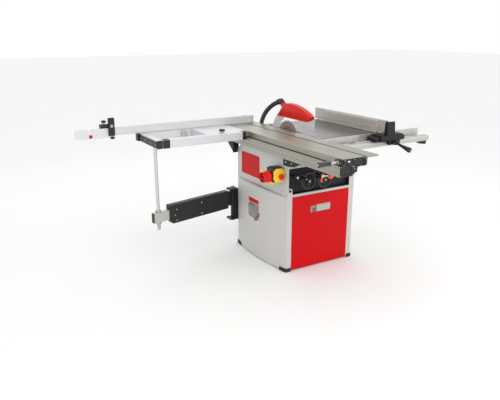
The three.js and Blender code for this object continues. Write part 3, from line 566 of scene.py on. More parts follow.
def make_hose():
    pitch = 5.2
    depth = 1.1

    def radius_at(run, angle):
        wave = math.cos(2 * math.pi * run / pitch + angle)
        return HOSE_RADIUS - depth + depth * wave

    line = smooth_line(HOSE_ROUTE, 0.8)
    bm = bmesh.new()
    sweep(bm, line, radius_at, 36)
    hose = piece("ribbed_dust_hose", bm, HOSE_RUBBER, None, replaces=["dust_hose"])
    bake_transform(hose)
    end = Vector(HOSE_ROUTE[-1])
    built(
        "hose_lower_clamp", STEEL, "saw_unit",
        (
            lathe, end - UP * 1, UP, [(17.2, 0), (18.2, 0.6), (18.2, 8.4), (17.2, 9), (16.2, 9), (16.2, 0)],
            40, True
        ),
        (box, (end.x - 5, end.x + 5), (end.y + 16.5, end.y + 23), (end.z, end.z + 8)),
    )


make_hose()


# ---- CAD nodes that keep their shape ----
KEPT_NODES = [
    (GREY_PAINT, 1.2, ["lower_cabinet", "upper_cabinet"]),
    (RED_PAINT, 1.0, ["front_panel"]),
    (BLACK_CASTING, 0.9, ["control_panel", "arm_bracket", "beam_bracket_front", "beam_bracket_rear"]),
    (BLACK_PAINT, 1.6, ["outer_arm", "stop_block", "blade_hood"]),
    (RUBBER, 1.5, ["foot_1", "foot_2", "foot_3", "foot_4", "drive_belt"]),
    (BLACK_PLASTIC, 3.0, ["switch_box"]),
    (STEEL, 0.5, ["roller_carriage", "arbor", "motor_pulley", "arm_pin"]),
    (ALUMINIUM_X, 0.8, ["rail_angle", "inner_tube"]),
    (ALUMINIUM_Y, 0.6, ["table_insert"]),
    (WHITE_ALUMINIUM_X, 0.8, ["outrigger_plate"]),
    (CAST_IRON, 1.4, ["saw_table"]),
    (RAW_IRON, 1.2, ["trunnion_front", "trunnion_rear", "tilt_carriage", "lift_unit"]),
    (KNIFE_STEEL, 0.4, ["riving_knife"]),
    (MOTOR_PAINT, 1.0, ["motor"]),
]


def finish_node(name, look, edge):
    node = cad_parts[name]
    node.data.materials.clear()
    node.data.materials.append(look)
    if "custom_normal" in node.data.attributes:
        node.data.attributes.remove(node.data.attributes["custom_normal"])
    node.data.shade_smooth()
    weld = node.modifiers.new("weld", "WELD")
    weld.merge_threshold = 0.01 * MM
    flat = node.modifiers.new("flat faces", "DECIMATE")
    flat.decimate_type = "DISSOLVE"
    flat.angle_limit = math.radians(0.5)
    soften(node, edge)


for look, edge, names in KEPT_NODES:
    for name in names:
        finish_node(name, look, edge)


# ---- cabinet: covers, plates and screws ----
def cabinet_trim():
    upper = Span("upper_cabinet")
    face = upper.x0 - GAP
    cover_thick = 2.5
    cover = fillet(rectangle((335, 569), (559, 711)), 12, 6)
    built(
        "side_cover", RED_PAINT, "base",
        (prism, "x", cover, face - cover_thick, face), edge=1.0, segments=3,
    )
    corners = [(face - cover_thick, y, z) for y in (349, 555) for z in (573, 697)]
    bolts("side_cover_screws", RED_PAINT, "base", corners, -RIGHT, 4)
    side_screws = [
        (upper.x0, y, z) for y in (16, 320, 613) for z in (527,)
    ] + [(upper.x0, 50, 541), (upper.x0, 39, 756)]
    right_screws = [(upper.x1, y, z) for y in (16, 320, 613) for z in (527, 700)]
    bolts("cabinet_side_screws", STEEL, "base", side_screws, -RIGHT, 4.5)
    bolts("cabinet_right_screws", STEEL, "base", right_screws, RIGHT, 4.5)

    # Round lug at the recess's lower left corner, with a rubber plug in it.
    lug = [(1, 513), (36, 513), *arc(19, 553, 17, 0, 180, 16), (1, 553)]
    front = upper.y0 - GAP
    built("recess_lug", GREY_PAINT, "base", (prism, "y", lug, front - 2.5, front), edge=0.8)
    plug = [(9.5, 0), (9.5, 1.5), (8.5, 2.6), (6, 3), (4.5, 2.4), (0, 2.2)]
    built("recess_plug", RUBBER, "base", (lathe, (19, front - 2.5, 553), -BACK, plug, 32))

    # Bottom bead of the recess and a drip edge over the front panel.
    panel = Span("front_panel")
    built(
        "front_drip_edge", GREY_PAINT, "base",
        (
            prism, "x", fillet([(-4.5, 513), (front, 513), (front, 524), (-2.5, 524)], 1, 2), 39,
            upper.x1 - 2
        ),
        edge=0.5,
    )
    plate_face = panel.y0 - GAP
    built(
        "rating_plate", printed_plate(
            "rating_plate_print", tuple(at(230, 0, 385)), (0, 113), 49, "b4b2a4",
            [("rows", 0.86, 1.0, (-1, 2), "9a988c"), ("rows", 0.0, 0.06, (-1, 2), "9a988c")],
        ), "base",
        (prism, "y", fillet(rectangle((230, 343), (385, 434)), 2), plate_face - 1, plate_face), edge=0.3,
        slot="aluminium"
    )
    built(
        "small_plate", printed_plate(
            "small_plate_print", tuple(at(182, 0, 385)), (0, 46), 43, "8d8a80",
            [("columns", 0.32, 1.0, (0.0, 0.72), "5a5650"), ("slant", 1.05, 1.3, (0.0, 0.66), "a01c20")],
        ), "base",
        (prism, "y", fillet(rectangle((182, 228), (385, 428)), 2), plate_face - 0.8, plate_face), edge=0.3,
        slot="aluminium"
    )
    pins = [(x, plate_face - 1, z) for x in (234, 339) for z in (390, 429)]
    bolts("rating_plate_rivets", STEEL, "base", pins, -BACK, 1.6)

    # Blank yellow plate behind the inlet.
    built(
        "yellow_side_plate", YELLOW_PLASTIC, "base",
        (prism, "x", fillet(rectangle((155, 326), (557, 628)), 3), face - 0.8, face), edge=0.3,
    )


def cabinet_bulge(y):
    """How far the lower cabinet's side stands out at this place along its length."""
    lower = Span("lower_cabinet")
    share = (y - lower.y0) / (lower.y1 - lower.y0)
    return 4 * (-lower.x0) * share * (1 - share)


def bulged_plate():
    """A thin plate laid on the bulged left side: a plain red, grey and striped pattern, with no lettering."""
    y0, y1, z0, z1, thick = 281, 454, 251, 438, 0.9
    steps = 24
    bm = bmesh.new()
    outer = []
    for n in range(steps + 1):
        y = y0 + (y1 - y0) * n / steps
        x = -cabinet_bulge(y) - 0.4
        outer.append((x, y))
    outline = outer + [(x - thick, y) for x, y in reversed(outer)]
    prism(bm, "z", outline, z0, z1)
    blocks = [
        ("rows", 0.74, 0.9, (0.06, 0.86), "c8141c"),
        ("rows", 0.14, 0.72, (0.06, 0.84), "76756f"),
        ("slant", 0.30, 0.38, (0.06, 0.44), "c8141c"),
        ("slant", 0.40, 0.52, (0.06, 0.44), "3a3836"),
        ("columns", 0.88, 0.93, (0.16, 0.62), "2c2b2a"),
    ]
    look = printed_plate("emblem_print", tuple(at(0, y0, z0)), (1, y1 - y0), z1 - z0, "cfcec9", blocks)
    piece("emblem_plate", bm, look, "base", slot="aluminium")


cabinet_trim()
bulged_plate()


# ---- switch and inlet ----
def switch_pieces():
    lid = Span("switch_lid")
    button = Span("stop_button")
    middle = ((button.x0 + button.x1) / 2, (button.z0 + button.z1) / 2)
    cut = 16
    octagon = [
        (lid.x0 + cut, lid.z0), (lid.x1 - cut, lid.z0), (lid.x1, lid.z0 + cut), (lid.x1, lid.z1 - cut),
        (lid.x1 - cut, lid.z1), (lid.x0 + cut, lid.z1), (lid.x0, lid.z1 - cut), (lid.x0, lid.z0 + cut),
    ]
    shell = fillet(octagon, 3, 3)
    raised = fillet(
        [(middle[0] + (a - middle[0]) * 0.8, middle[1] + (b - middle[1]) * 0.8) for a, b in octagon], 3, 3
    )
    bore = circle(*middle, 11, 32)
    built(
        "switch_lid_shell", YELLOW_PLASTIC, "lid",
        (prism, "y", shell, lid.y0 + 4, lid.y1, [bore]),
        (prism, "y", raised, lid.y0, lid.y0 + 4.2, [bore]),
        (
            lathe, (middle[0], lid.y0, middle[1]), -BACK, [(22, 0), (22, 1.2), (20.5, 2), (13, 2), (12, 0)],
            40, True
        ),
        edge=1.1, segments=3, replaces=["switch_lid"],
    )
    # The hinge pins stand on the lid's axis, thin enough to clear the box and the swinging lid.
    axis = (-77, 47.7)
    for number, z in enumerate((lid.z0 + 18, lid.z1 - 34), 1):
        pin = (rod, (*axis, z), (*axis, z + 16), 0.85, 16, 0.2)
        built(f"lid_hinge_pin_{number}", STEEL, "base", pin)
    lid_screws = [(x, lid.y0 + 4, z) for x, z in ((lid.x0 + 8, lid.z0 + 24), (lid.x1 - 8, lid.z1 - 24))]
    bolts("lid_screws", BLACK_PLASTIC, "lid", lid_screws, -BACK, 2.6)

    radius = (button.x1 - button.x0) / 2
    crown = button.y0
    mushroom = [
        (0, 0), (radius * 0.45, 0.25), (radius * 0.72, 1.1), (radius * 0.9, 2.8), (radius * 0.98, 5.2),
        (radius, 8),
        (radius * 0.97, 11), (radius * 0.86, 13.2), (radius * 0.6, 15), (9, 15.6), (9, button.y1 - crown),
    ]
    built(
        "mushroom_button", RED_PLASTIC, "stop",
        (lathe, (middle[0], crown, middle[1]), BACK, mushroom, 48), replaces=["stop_button"],
    )
    switch = Span("switch_box")
    cover = (switch.x0 + 6, switch.x1 - 6)
    built(
        "switch_box_cover", BLACK_PLASTIC, "base",
        (
            prism, "z", fillet(rectangle(cover, (switch.y0 + 8, switch.y1 - 10)), 8, 5), switch.z1 - 0.5,
            switch.z1 + 5
        ),
        (prism, "y", rectangle((switch.x0 + 10, switch.x0 + 26), (switch.z1, switch.z1 + 9)), 60, 108),
        edge=1.4,
    )
    box_screws = [(x, y, switch.z1 + 5) for x in (cover[0] + 8, cover[1] - 8) for y in (64, 110)]
    bolts("switch_box_screws", STEEL, "base", box_screws, UP, 3)


def inlet_piece():
    inlet = Span("power_inlet")
    centre_y = (inlet.y0 + inlet.y1) / 2
    centre_z = (inlet.z0 + inlet.z1) / 2
    long = inlet.x1 - inlet.x0
    mouth = (inlet.x0, centre_y, centre_z)
    sleeve = [
        (0, 42), (30, 42), (30, 1), (31.2, 0), (34, 0), (34.4, 3), (34.4, 8), (33.4, 10), (33.2, 16),
        (34.2, 19),
        (34.6, 26), (34.6, 32), (35.6, 35), (37, 37), (37, long), (20, long), (20, 43), (0, 43),
    ]
    built(
        "power_inlet_sleeve", RED_PLASTIC, "base", (lathe, mouth, RIGHT, sleeve, 48),
        edge=0.5, replaces=["power_inlet"],
    )
    face = (inlet.x0 + 26, centre_y, centre_z)
    built(
        "inlet_core", RED_PLASTIC, "base",
        (lathe, face, RIGHT, [(0, 0), (22, 0), (23, 1), (23, 17)], 40)
    )
    pins = bmesh.new()
    for number in range(5):
        angle = 2 * math.pi * number / 5 - math.pi / 2
        y = centre_y + 15 * math.cos(angle)
        z = centre_z + 15 * math.sin(angle)
        profile = [(0, 0), (1.6, 0.2), (2.8, 1.6), (3, 3.2), (3, 24)]
        lathe(pins, (inlet.x0 + 6, y, z), RIGHT, profile, 16)
    piece("inlet_pins", pins, STEEL, "base")
    ribs = bmesh.new()
    for number in range(24):
        angle = 2 * math.pi * number / 24
        way = Vector((0, math.cos(angle), math.sin(angle)))
        start = Vector((inlet.x0 + 19, centre_y, centre_z)) + way * 34.2
        rod(ribs, start, start + RIGHT * 14, 1.1, 8, 0.4)
    piece("inlet_grip_ribs", ribs, RED_PLASTIC, "base")


switch_pieces()
inlet_piece()


# ---- handwheels and locks ----
def handwheel(name, node, body):
    wheel = Span(node)
    centre = Vector((0, wheel.y0 + 40, 0))
    ring_radius = 50
    centre.x = (wheel.x0 + wheel.x1) / 2
    centre.z = (wheel.z0 + wheel.z1) / 2
    rim = [
        (ring_radius + 7.5 * math.cos(t), 6.2 * math.sin(t) * (1 + 0.12 * math.cos(2 * t)))
        for t in (2 * math.pi * n / 18 for n in range(18))
    ]
    bm = bmesh.new()
    lathe(bm, centre, BACK, rim, 64, True)
    for number in range(3):
        angle = 2 * math.pi * number / 3 + 0.5
        out = Vector((math.cos(angle), 0, math.sin(angle)))
        line = [
            centre + out * 12 + BACK * 5, centre + out * 24 + BACK * 3.5, centre + out * 36 - BACK * 0.5,
            centre + out * 47
        ]
        sweep(
            bm, smooth_line(line, 3), lambda run, t: (8.5 - 0.09 * run) * (0.72 + 0.28 * abs(math.cos(t))),
            20
        )
    hub = [
        (0, -12), (9, -12), (9.6, -13.6), (15, -13.6), (17, -11.5), (17.5, 2), (19, 9), (18, 14), (8.5, 16),
        (8.5, 82)
    ]
    lathe(bm, centre, BACK, hub, 40)
    piece(f"{name}_casting", bm, BLACK_PLASTIC, body, replaces=[node])
    cap = [(0, -2.4), (3, -2.1), (5, -1.2), (5.6, 0.6)]
    built(f"{name}_cap", CHROME, body, (lathe, centre - BACK * 12.6, BACK, cap, 32))
    seat = centre + Vector((ring_radius * math.cos(2.6), 0, ring_radius * math.sin(2.6)))
    grip = [
        (0, -40), (4, -40), (8.5, -38.5), (10.8, -34), (11, -28), (9.6, -16), (8.2, -9), (8.4, -7),
        (7, -6.2)
    ]
    built(f"{name}_grip", BLACK_PLASTIC, body, (lathe, seat, BACK, grip, 32))
    stem = [(0, -40.8), (2.6, -40.4), (3.4, -39), (3.4, -8), (5.5, -8), (5.5, -4), (4, -3)]
    built(f"{name}_grip_stem", CHROME, body, (lathe, seat, BACK, stem, 24))
    # Index scale: a bright ring of marks round the shaft, at the panel.
    marks = bmesh.new()
    for number in range(12):
        angle = 2 * math.pi * number / 12
        out = Vector((math.cos(angle), 0, math.sin(angle)))
        spot = Vector((centre.x, 25, centre.z)) + out * 26
        lathe(marks, spot, -BACK, [(2.2, 0), (2.2, 0.8), (1.7, 1.1), (0, 1.2)], 12)
    piece(f"{name}_index_marks", marks, STEEL, "base")


def lock_pieces():
    lock = Span("height_lock")
    centre = Vector(((lock.x0 + lock.x1) / 2, lock.y0, (lock.z0 + lock.z1) / 2))
    bm = bmesh.new()
    steps = 60
    rings = []
    profile = [(0, 0), (11, 0), (13.4, 2), (14, 6), (14, 30), (13, 34), (9, 36)]
    for radius, along in profile:
        flute = 0.9 if 2 < along < 34 else 0
        ring = []
        for n in range(steps if radius else 1):
            angle = 2 * math.pi * n / steps
            reach = radius - flute * (1 + math.cos(12 * angle)) / 2
            ring.append(
                bm.verts.new(centre + BACK * along + Vector((math.cos(angle), 0, math.sin(angle))) * reach)
            )
        rings.append(ring)
    for near, far in zip(rings, rings[1:]):
        bridge(bm, near, far)
    bm.faces.new(rings[-1])
    rod(bm, centre + BACK * 34, centre + BACK * (lock.y1 - lock.y0), 6)
    piece("height_lock_knob", bm, BLACK_PLASTIC, "height_clamp", replaces=["height_lock"])
    built(
        "height_lock_cap", CHROME, "height_clamp",
        (lathe, centre, BACK, [(0, -1.4), (4, -1.2), (7, -0.2), (7.4, 0.6)], 32),
    )

    lever = Span("tilt_lock")
    hub = Vector((198, -104, 650))
    ball = Vector((254, -102, 645))
    barrel = [
        (0, -1), (5, -0.8), (9.5, 0.8), (11, 3.5), (11, 16), (9, 18), (8, 20), (8, 88), (10, 90), (11, 96),
        (11, 100)
    ]
    built(
        "tilt_lock_stem", CHROME, "tilt_clamp",
        (lathe, hub, BACK, barrel, 40),
        (rod, hub + BACK * 98, (hub.x, lever.y1, hub.z), 6),
        (rod, hub + BACK * 9, ball, 5), edge=0.3, replaces=["tilt_lock"],
    )
    out = (ball - (hub + BACK * 9)).normalized()
    radius = 20
    sphere = [
        (radius * math.sin(t), -radius * math.cos(t)) for t in (math.pi * n / 24 for n in range(1, 24))
    ]
    knob = [
        (6.5, -21.5), (7, -20.5), *[p for p in sphere if p[1] > -18.6 and p[1] < 19.4], (5.5, 19.6),
        (5, 19), (0, 19)
    ]
    built("tilt_lock_ball", ORANGE_PLASTIC, "tilt_clamp", (lathe, ball, out, knob, 48))
    tab = [(0, -2), (5, -1), (6.5, 3), (5.6, 12), (7.6, 24), (7.8, 30), (5, 34), (0, 35)]
    built(
        "tilt_index_tab", ORANGE_PLASTIC, "tilt_clamp",
        (lathe, (hub.x, -86, hub.z - 9), -UP, tab, 28),
    )


handwheel("height_handwheel", "height_wheel", "height_control")
handwheel("tilt_handwheel", "tilt_wheel", "tilt_control")
lock_pieces()


# ---- fixed beam and sliding table ----
TABLE = Span("sliding_table")
SLOT_X = 135


def beam_pieces():
    beam = Span("base_beam")
    top = 832
    wall = 6
    outline = [
        *grooved((beam.x0, top), (beam.x1, top), []),
        *grooved((beam.x1, top), (beam.x1, beam.z0), [20, 40]),
        *grooved((beam.x1, beam.z0), (beam.x0, beam.z0), []),
        *grooved((beam.x0, beam.z0), (beam.x0, top), [9, 22, 25, 44, 52], 1.8, 1.4),
    ]
    chamber = rectangle((beam.x0 + wall, beam.x1 - wall), (beam.z0 + wall, top - wall))
    tracks = [(prism, "y", rectangle((x, x + 12), (top - 0.5, beam.z1)), *beam.y) for x in (-13, 30)]
    built(
        "fixed_beam", ALUMINIUM_Y, "base",
        (prism, "y", outline, *beam.y, [chamber]), *tracks, edge=0.6, replaces=["base_beam"],
    )
    cap = (beam.y0 - 4.5, beam.y0 - GAP)
    outer = fillet(rectangle((beam.x0, beam.x1 - 2), (beam.z0, top + 2)), 4)
    recess = fillet(rectangle((beam.x0 + 12, beam.x1 - 14), (beam.z0 + 12, top - 10)), 3)
    built(
        "beam_front_cap", BLACK_PLASTIC, "base",
        (prism, "y", outer, *cap, [recess]),
        (prism, "y", recess, cap[0] + 2.5, cap[1]), edge=0.8,
    )
    screws = [(x, cap[0], z) for x in (beam.x0 + 6, beam.x1 - 8) for z in (beam.z0 + 6, top - 5)]
    bolts("beam_cap_screws", STEEL, "base", screws, -BACK, 2.8)
    rear = (beam.y1 + GAP, beam.y1 + 4)
    built("beam_rear_cap", BLACK_PLASTIC, "base", (prism, "y", outer, *rear), edge=0.8)
    # Bracket plate beside the beam's front end, with its bolts.
    built(
        "beam_end_gusset", BLACK_CASTING, "base",
        (
            prism, "y", [(beam.x1 + GAP, 778), (80, 790), (84, 816), (beam.x1 + GAP, 816)], beam.y0,
            beam.y0 + 8
        ),
        (box, (beam.x1 + GAP, beam.x1 + 6), (beam.y0, beam.y0 + 60), (778, 816)), edge=1.2,
    )
    heads = [(60, beam.y0, 808), (76, beam.y0, 806), (64, beam.y0, 790)]
    bolts("gusset_bolts", STEEL, "base", heads, -BACK, 3.6)
    bracket = Span("beam_bracket_front")
    side_heads = [(bracket.x0, y, 755) for y in (-30, -90)]
    bolts("front_bracket_bolts", STEEL, "base", side_heads, -RIGHT, 5.5)
    front_heads = [(x, -6.1, 752) for x in (0, 45)]
    bolts("front_bracket_face_bolts", STEEL, "base", front_heads, -BACK, 5.5)


def table_section():
    t = TABLE
    top = t.z1
    left_side = [(t.x0 + 8, 846), (t.x0 + 8, t.z0 + 16)]
    slot = [
        (SLOT_X - 6, top), (SLOT_X - 6, top - 8), (SLOT_X - 11, top - 8), (SLOT_X - 11, top - 15),
        (SLOT_X + 11, top - 15), (SLOT_X + 11, top - 8), (SLOT_X + 6, top - 8),
    ]
    return [
        *grooved((t.x0, top), (SLOT_X - 6, top), [12, 30, 58, 62, 92, 122, 146]),
        *slot,
        *grooved((SLOT_X + 6, top), (t.x1, top), [14, 26, 56]),
        (t.x1, top), (t.x1, top - 4), (t.x1 - 8, top - 9), (148, top - 9),
        *grooved((148, top - 9), (148, t.z0), [14, 30]),
        (148, t.z0), (58, t.z0), (58, 846), *left_side,
        (t.x0, t.z0 + 16),
        *grooved((t.x0, t.z0 + 16), (t.x0, top), [7, 15, 17.5, 27], 1.6, 1.3)[1:],
    ]


def table_pieces():
    t = TABLE
    chambers = [rectangle((63, 96), (t.z0 + 5, t.z1 - 8)), rectangle((101, 143), (t.z0 + 5, t.z1 - 20))]
    built(
        "sliding_table_extrusion", ALUMINIUM_Y, "carriage",
        (prism, "y", table_section(), *t.y, chambers), edge=0.4, replaces=["sliding_table"],
    )
    # Black end cap with a runner wheel in its window.
    cap = (t.y0 - 4.5, t.y0 - GAP)
    frame_outline = fillet(
        [(t.x0 + 2, t.z1 - 1), (134, t.z1 - 1), (134, t.z0), (59, t.z0), (59, 838), (t.x0 + 2, 838)], 3
    )
    window = fillet(rectangle((-6, 44), (846, 862)), 3)
    pocket = fillet(rectangle((66, 124), (828, 858)), 3)
    built(
        "table_front_cap", BLACK_PLASTIC, "carriage",
        (prism, "y", frame_outline, *cap, [window, pocket]),
        (prism, "y", pocket, cap[0] + 3, cap[1]),
        (box, (-8, 46), (cap[0] + 3, cap[1]), (844, 864)), edge=0.8,
    )
    wheel = [(0, -9), (4, -9), (5.5, -8), (7, -5), (7, 5), (5.5, 8), (4, 9), (0, 9)]
    built(
        "table_cap_runner", CHROME, "carriage", (lathe, (14, cap[0] + 4, 854), RIGHT, wheel, 28)
    )
    screws = [(x, cap[0], z) for x, z in ((-15, 862), (52, 863), (96, 823.5), (129, 864))]
    bolts("table_cap_screws", STEEL, "carriage", screws, -BACK, 3)
    # The rear cap leaves the roller carriage's track open.
    rear_outline = fillet(
        [(t.x0 + 2, t.z1 - 1), (134, t.z1 - 1), (134, t.z0), (64, t.z0), (64, 848), (t.x0 + 2, 848)], 3
    )
    built(
        "table_rear_cap", BLACK_PLASTIC, "carriage",
        (prism, "y", rear_outline, t.y1 + GAP, t.y1 + 4), edge=0.8,
    )


def push_handle_pieces():
    handle = Span("push_handle")
    y = (handle.y0 + handle.y1) / 2
    z = 852
    tip = (handle.x0, y, z)
    grip = [
        (0, 0), (9, 0.4), (13, 2), (14.6, 5), (15, 10), (14.2, 24), (14.2, 60), (15, 76), (14.2, 81),
        (11, 84), (0, 84),
    ]
    built(
        "push_handle_grip", GLOSS_BLACK, "carriage", (lathe, tip, RIGHT, grip, 48),
        replaces=["push_handle"]
    )
    built(
        "push_handle_tip", CHROME, "carriage",
        (lathe, tip, RIGHT, [(0, -1.6), (3.6, -1.4), (6, 0.2), (6, 1)], 28)
    )
    collar = [(7, 80), (9.5, 82), (9.5, 88), (7, 89.5), (7, 132), (10, 133), (10, 136)]
    built("push_handle_rod", CHROME, "carriage", (lathe, tip, RIGHT, collar, 32))
    base = fillet(rectangle(handle.y, (838, 866)), 5)
    built(
        "push_handle_base", BLACK_CASTING, "carriage",
        (prism, "x", base, -42, TABLE.x0 - GAP), edge=1.4
    )
    heads = [(-42, handle.y0 + 7, 852), (-42, handle.y1 - 7, 852)]
    bolts("push_handle_bolts", STEEL, "carriage", heads, -RIGHT, 4)


beam_pieces()
table_pieces()
push_handle_pieces()


# ---- outrigger ----
def hollow(x, z, wall=3.0, notches=()):
    """A box section with small grooves down its outer faces, and its chamber."""
    outer = [
        *grooved((x[0], z[1]), (x[1], z[1]), notches),
        *grooved((x[1], z[1]), (x[1], z[0]), notches),
        *grooved((x[1], z[0]), (x[0], z[0]), []),
        *grooved((x[0], z[0]), (x[0], z[1]), notches),
    ]
    return outer, rectangle((x[0] + wall, x[1] - wall), (z[0] + wall, z[1] - wall))


def sleeve(name, x, y, z, body="carriage"):
    """A moulded end sleeve round a profile."""
    built(name, BLACK_PLASTIC, body, (box, x, y, z), edge=1.6, segments=3)


def outrigger_pieces():
    front = Span("outrigger_front_profile")
    rear = Span("outrigger_rear_profile")
    end = Span("outrigger_end_profile")
    for name, s, node in (
        ("outrigger_front_extrusion", front, "outrigger_front_profile"),
        ("outrigger_rear_extrusion", rear, "outrigger_rear_profile"),
    ):
        outer, chamber = hollow(s.y, s.z, notches=[6.5, 42])
        built(
            name, WHITE_ALUMINIUM_X, "carriage",
            (prism, "x", outer, *s.x, [chamber]), edge=0.5, replaces=[node],
        )
    proud = 0.9
    wrap_y = (front.y0 - proud, front.y1 + 0.2)
    wrap_z = (front.z0 - proud, front.z1 + 0.4)
    sleeve("front_profile_left_sleeve", (front.x0, front.x0 + 44), wrap_y, wrap_z)
    sleeve("front_profile_right_sleeve", (front.x1 - 28, front.x1), wrap_y, wrap_z)
    outer, chamber = hollow(end.x, end.z, notches=[6])
    built(
        "outrigger_end_extrusion", WHITE_ALUMINIUM_Y, "carriage",
        (prism, "y", outer, end.y0 + 6, end.y1 - 6, [chamber]), edge=0.5,
        replaces=["outrigger_end_profile"],
    )
    sleeve(
        "end_profile_front_cap", (end.x0 - 1, end.x1 - 4), (end.y0, end.y0 + 8),
        (end.z0 - 0.5, end.z1 + 0.3)
    )
    sleeve(
        "end_profile_rear_cap", (end.x0 - 16, end.x1 - 1), (end.y1 - 40, end.y1), (end.z0 + 1, end.z1 + 0.3)
    )
    side = fillet(rectangle((end.y0 + 10, end.y1 - 41), (end.z0 + 3, end.z1 - 6)), 4)
    built(
        "end_profile_side_cover", BLACK_PLASTIC, "carriage",
        (prism, "x", side, end.x0 - 3.5, end.x0 - GAP), edge=0.9,
    )
    heads = [(end.x0 - 3.5, y, end.z0 + 24) for y in (460, 545, 640, 715)]
    bolts("side_cover_bolts", STEEL, "carriage", heads, -RIGHT, 4)
    built(
        "rod_socket", STEEL, "carriage",
        (lathe, (-660, 530, end.z0), -UP, [(15, 0), (15, 1.2), (12, 1.8), (0, 1.8)], 32),
    )

    # Plate: web under its left edge, screws, clamp block on the rear profile.
    plate = Span("outrigger_plate")
    between = (front.y1 + 1, rear.y0 - 1)
    built(
        "plate_web", WHITE_ALUMINIUM_Y, "carriage",
        (box, (plate.x0, plate.x0 + 3), between, (front.z0 + 6, plate.z0 - GAP)), edge=0.5,
    )
    sunk = plate.z1 - 2.3
    seats = [(x, y, sunk) for x in (plate.x0 + 18, -200, -90) for y in (plate.y0 + 14, plate.y1 - 14)]
    bolts("plate_screws", STEEL, "carriage", seats, UP, 4)
    built(
        "rear_clamp_block", ALUMINIUM_X, "carriage",
        (
            prism, "z", fillet(rectangle((-388, -350), (rear.y0 - 22, rear.y0 - GAP)), 4), front.z0 + 2,
            front.z1 - 3
        ),
        edge=1,
    )
    knob_piece("outrigger_star_knob", "outrigger_knob", "outrigger_clamp", 21, 5, UP)


def knob_piece(name, node, body, radius, lobes, way):
    """A star knob: a lobed moulding with a domed top, on a plated stem."""
    s = Span(node)
    high = s.z1 - s.z0
    foot = Vector(((s.x0 + s.x1) / 2, (s.y0 + s.y1) / 2, s.z0 if way.z > 0 else s.z1))
    stem = high * 0.34
    steps = 60
    levels = [
        (0.62, stem), (0.95, stem + 1), (1.0, stem + high * 0.18), (1.0, high * 0.8), (0.9, high * 0.93),
        (0.62, high), (0, high * 0.97)
    ]
    bm = bmesh.new()
    rings = []
    for share, along in levels:
        ring = []
        for n in range(steps if share else 1):
            angle = 2 * math.pi * n / steps
            wave = 1 - 0.13 * (1 - abs(math.cos(lobes * angle / 2)) ** 0.7)
            ring.append(
                bm.verts.new(
                    foot + way * along + Vector(
                        (math.cos(angle), math.sin(angle), 0)
                    ) * radius * share * wave
                )
            )
        rings.append(ring)
    bm.faces.new(rings[0])
    for near, far in zip(rings, rings[1:]):
        bridge(bm, near, far)
    piece(name, bm, BLACK_PLASTIC, body, replaces=[node])
    built(
        f"{name}_stem", STEEL, body,
        (rod, foot + way * 0.2, foot + way * (stem + 1), radius * 0.3, 24, 0.3)
    )


outrigger_pieces()


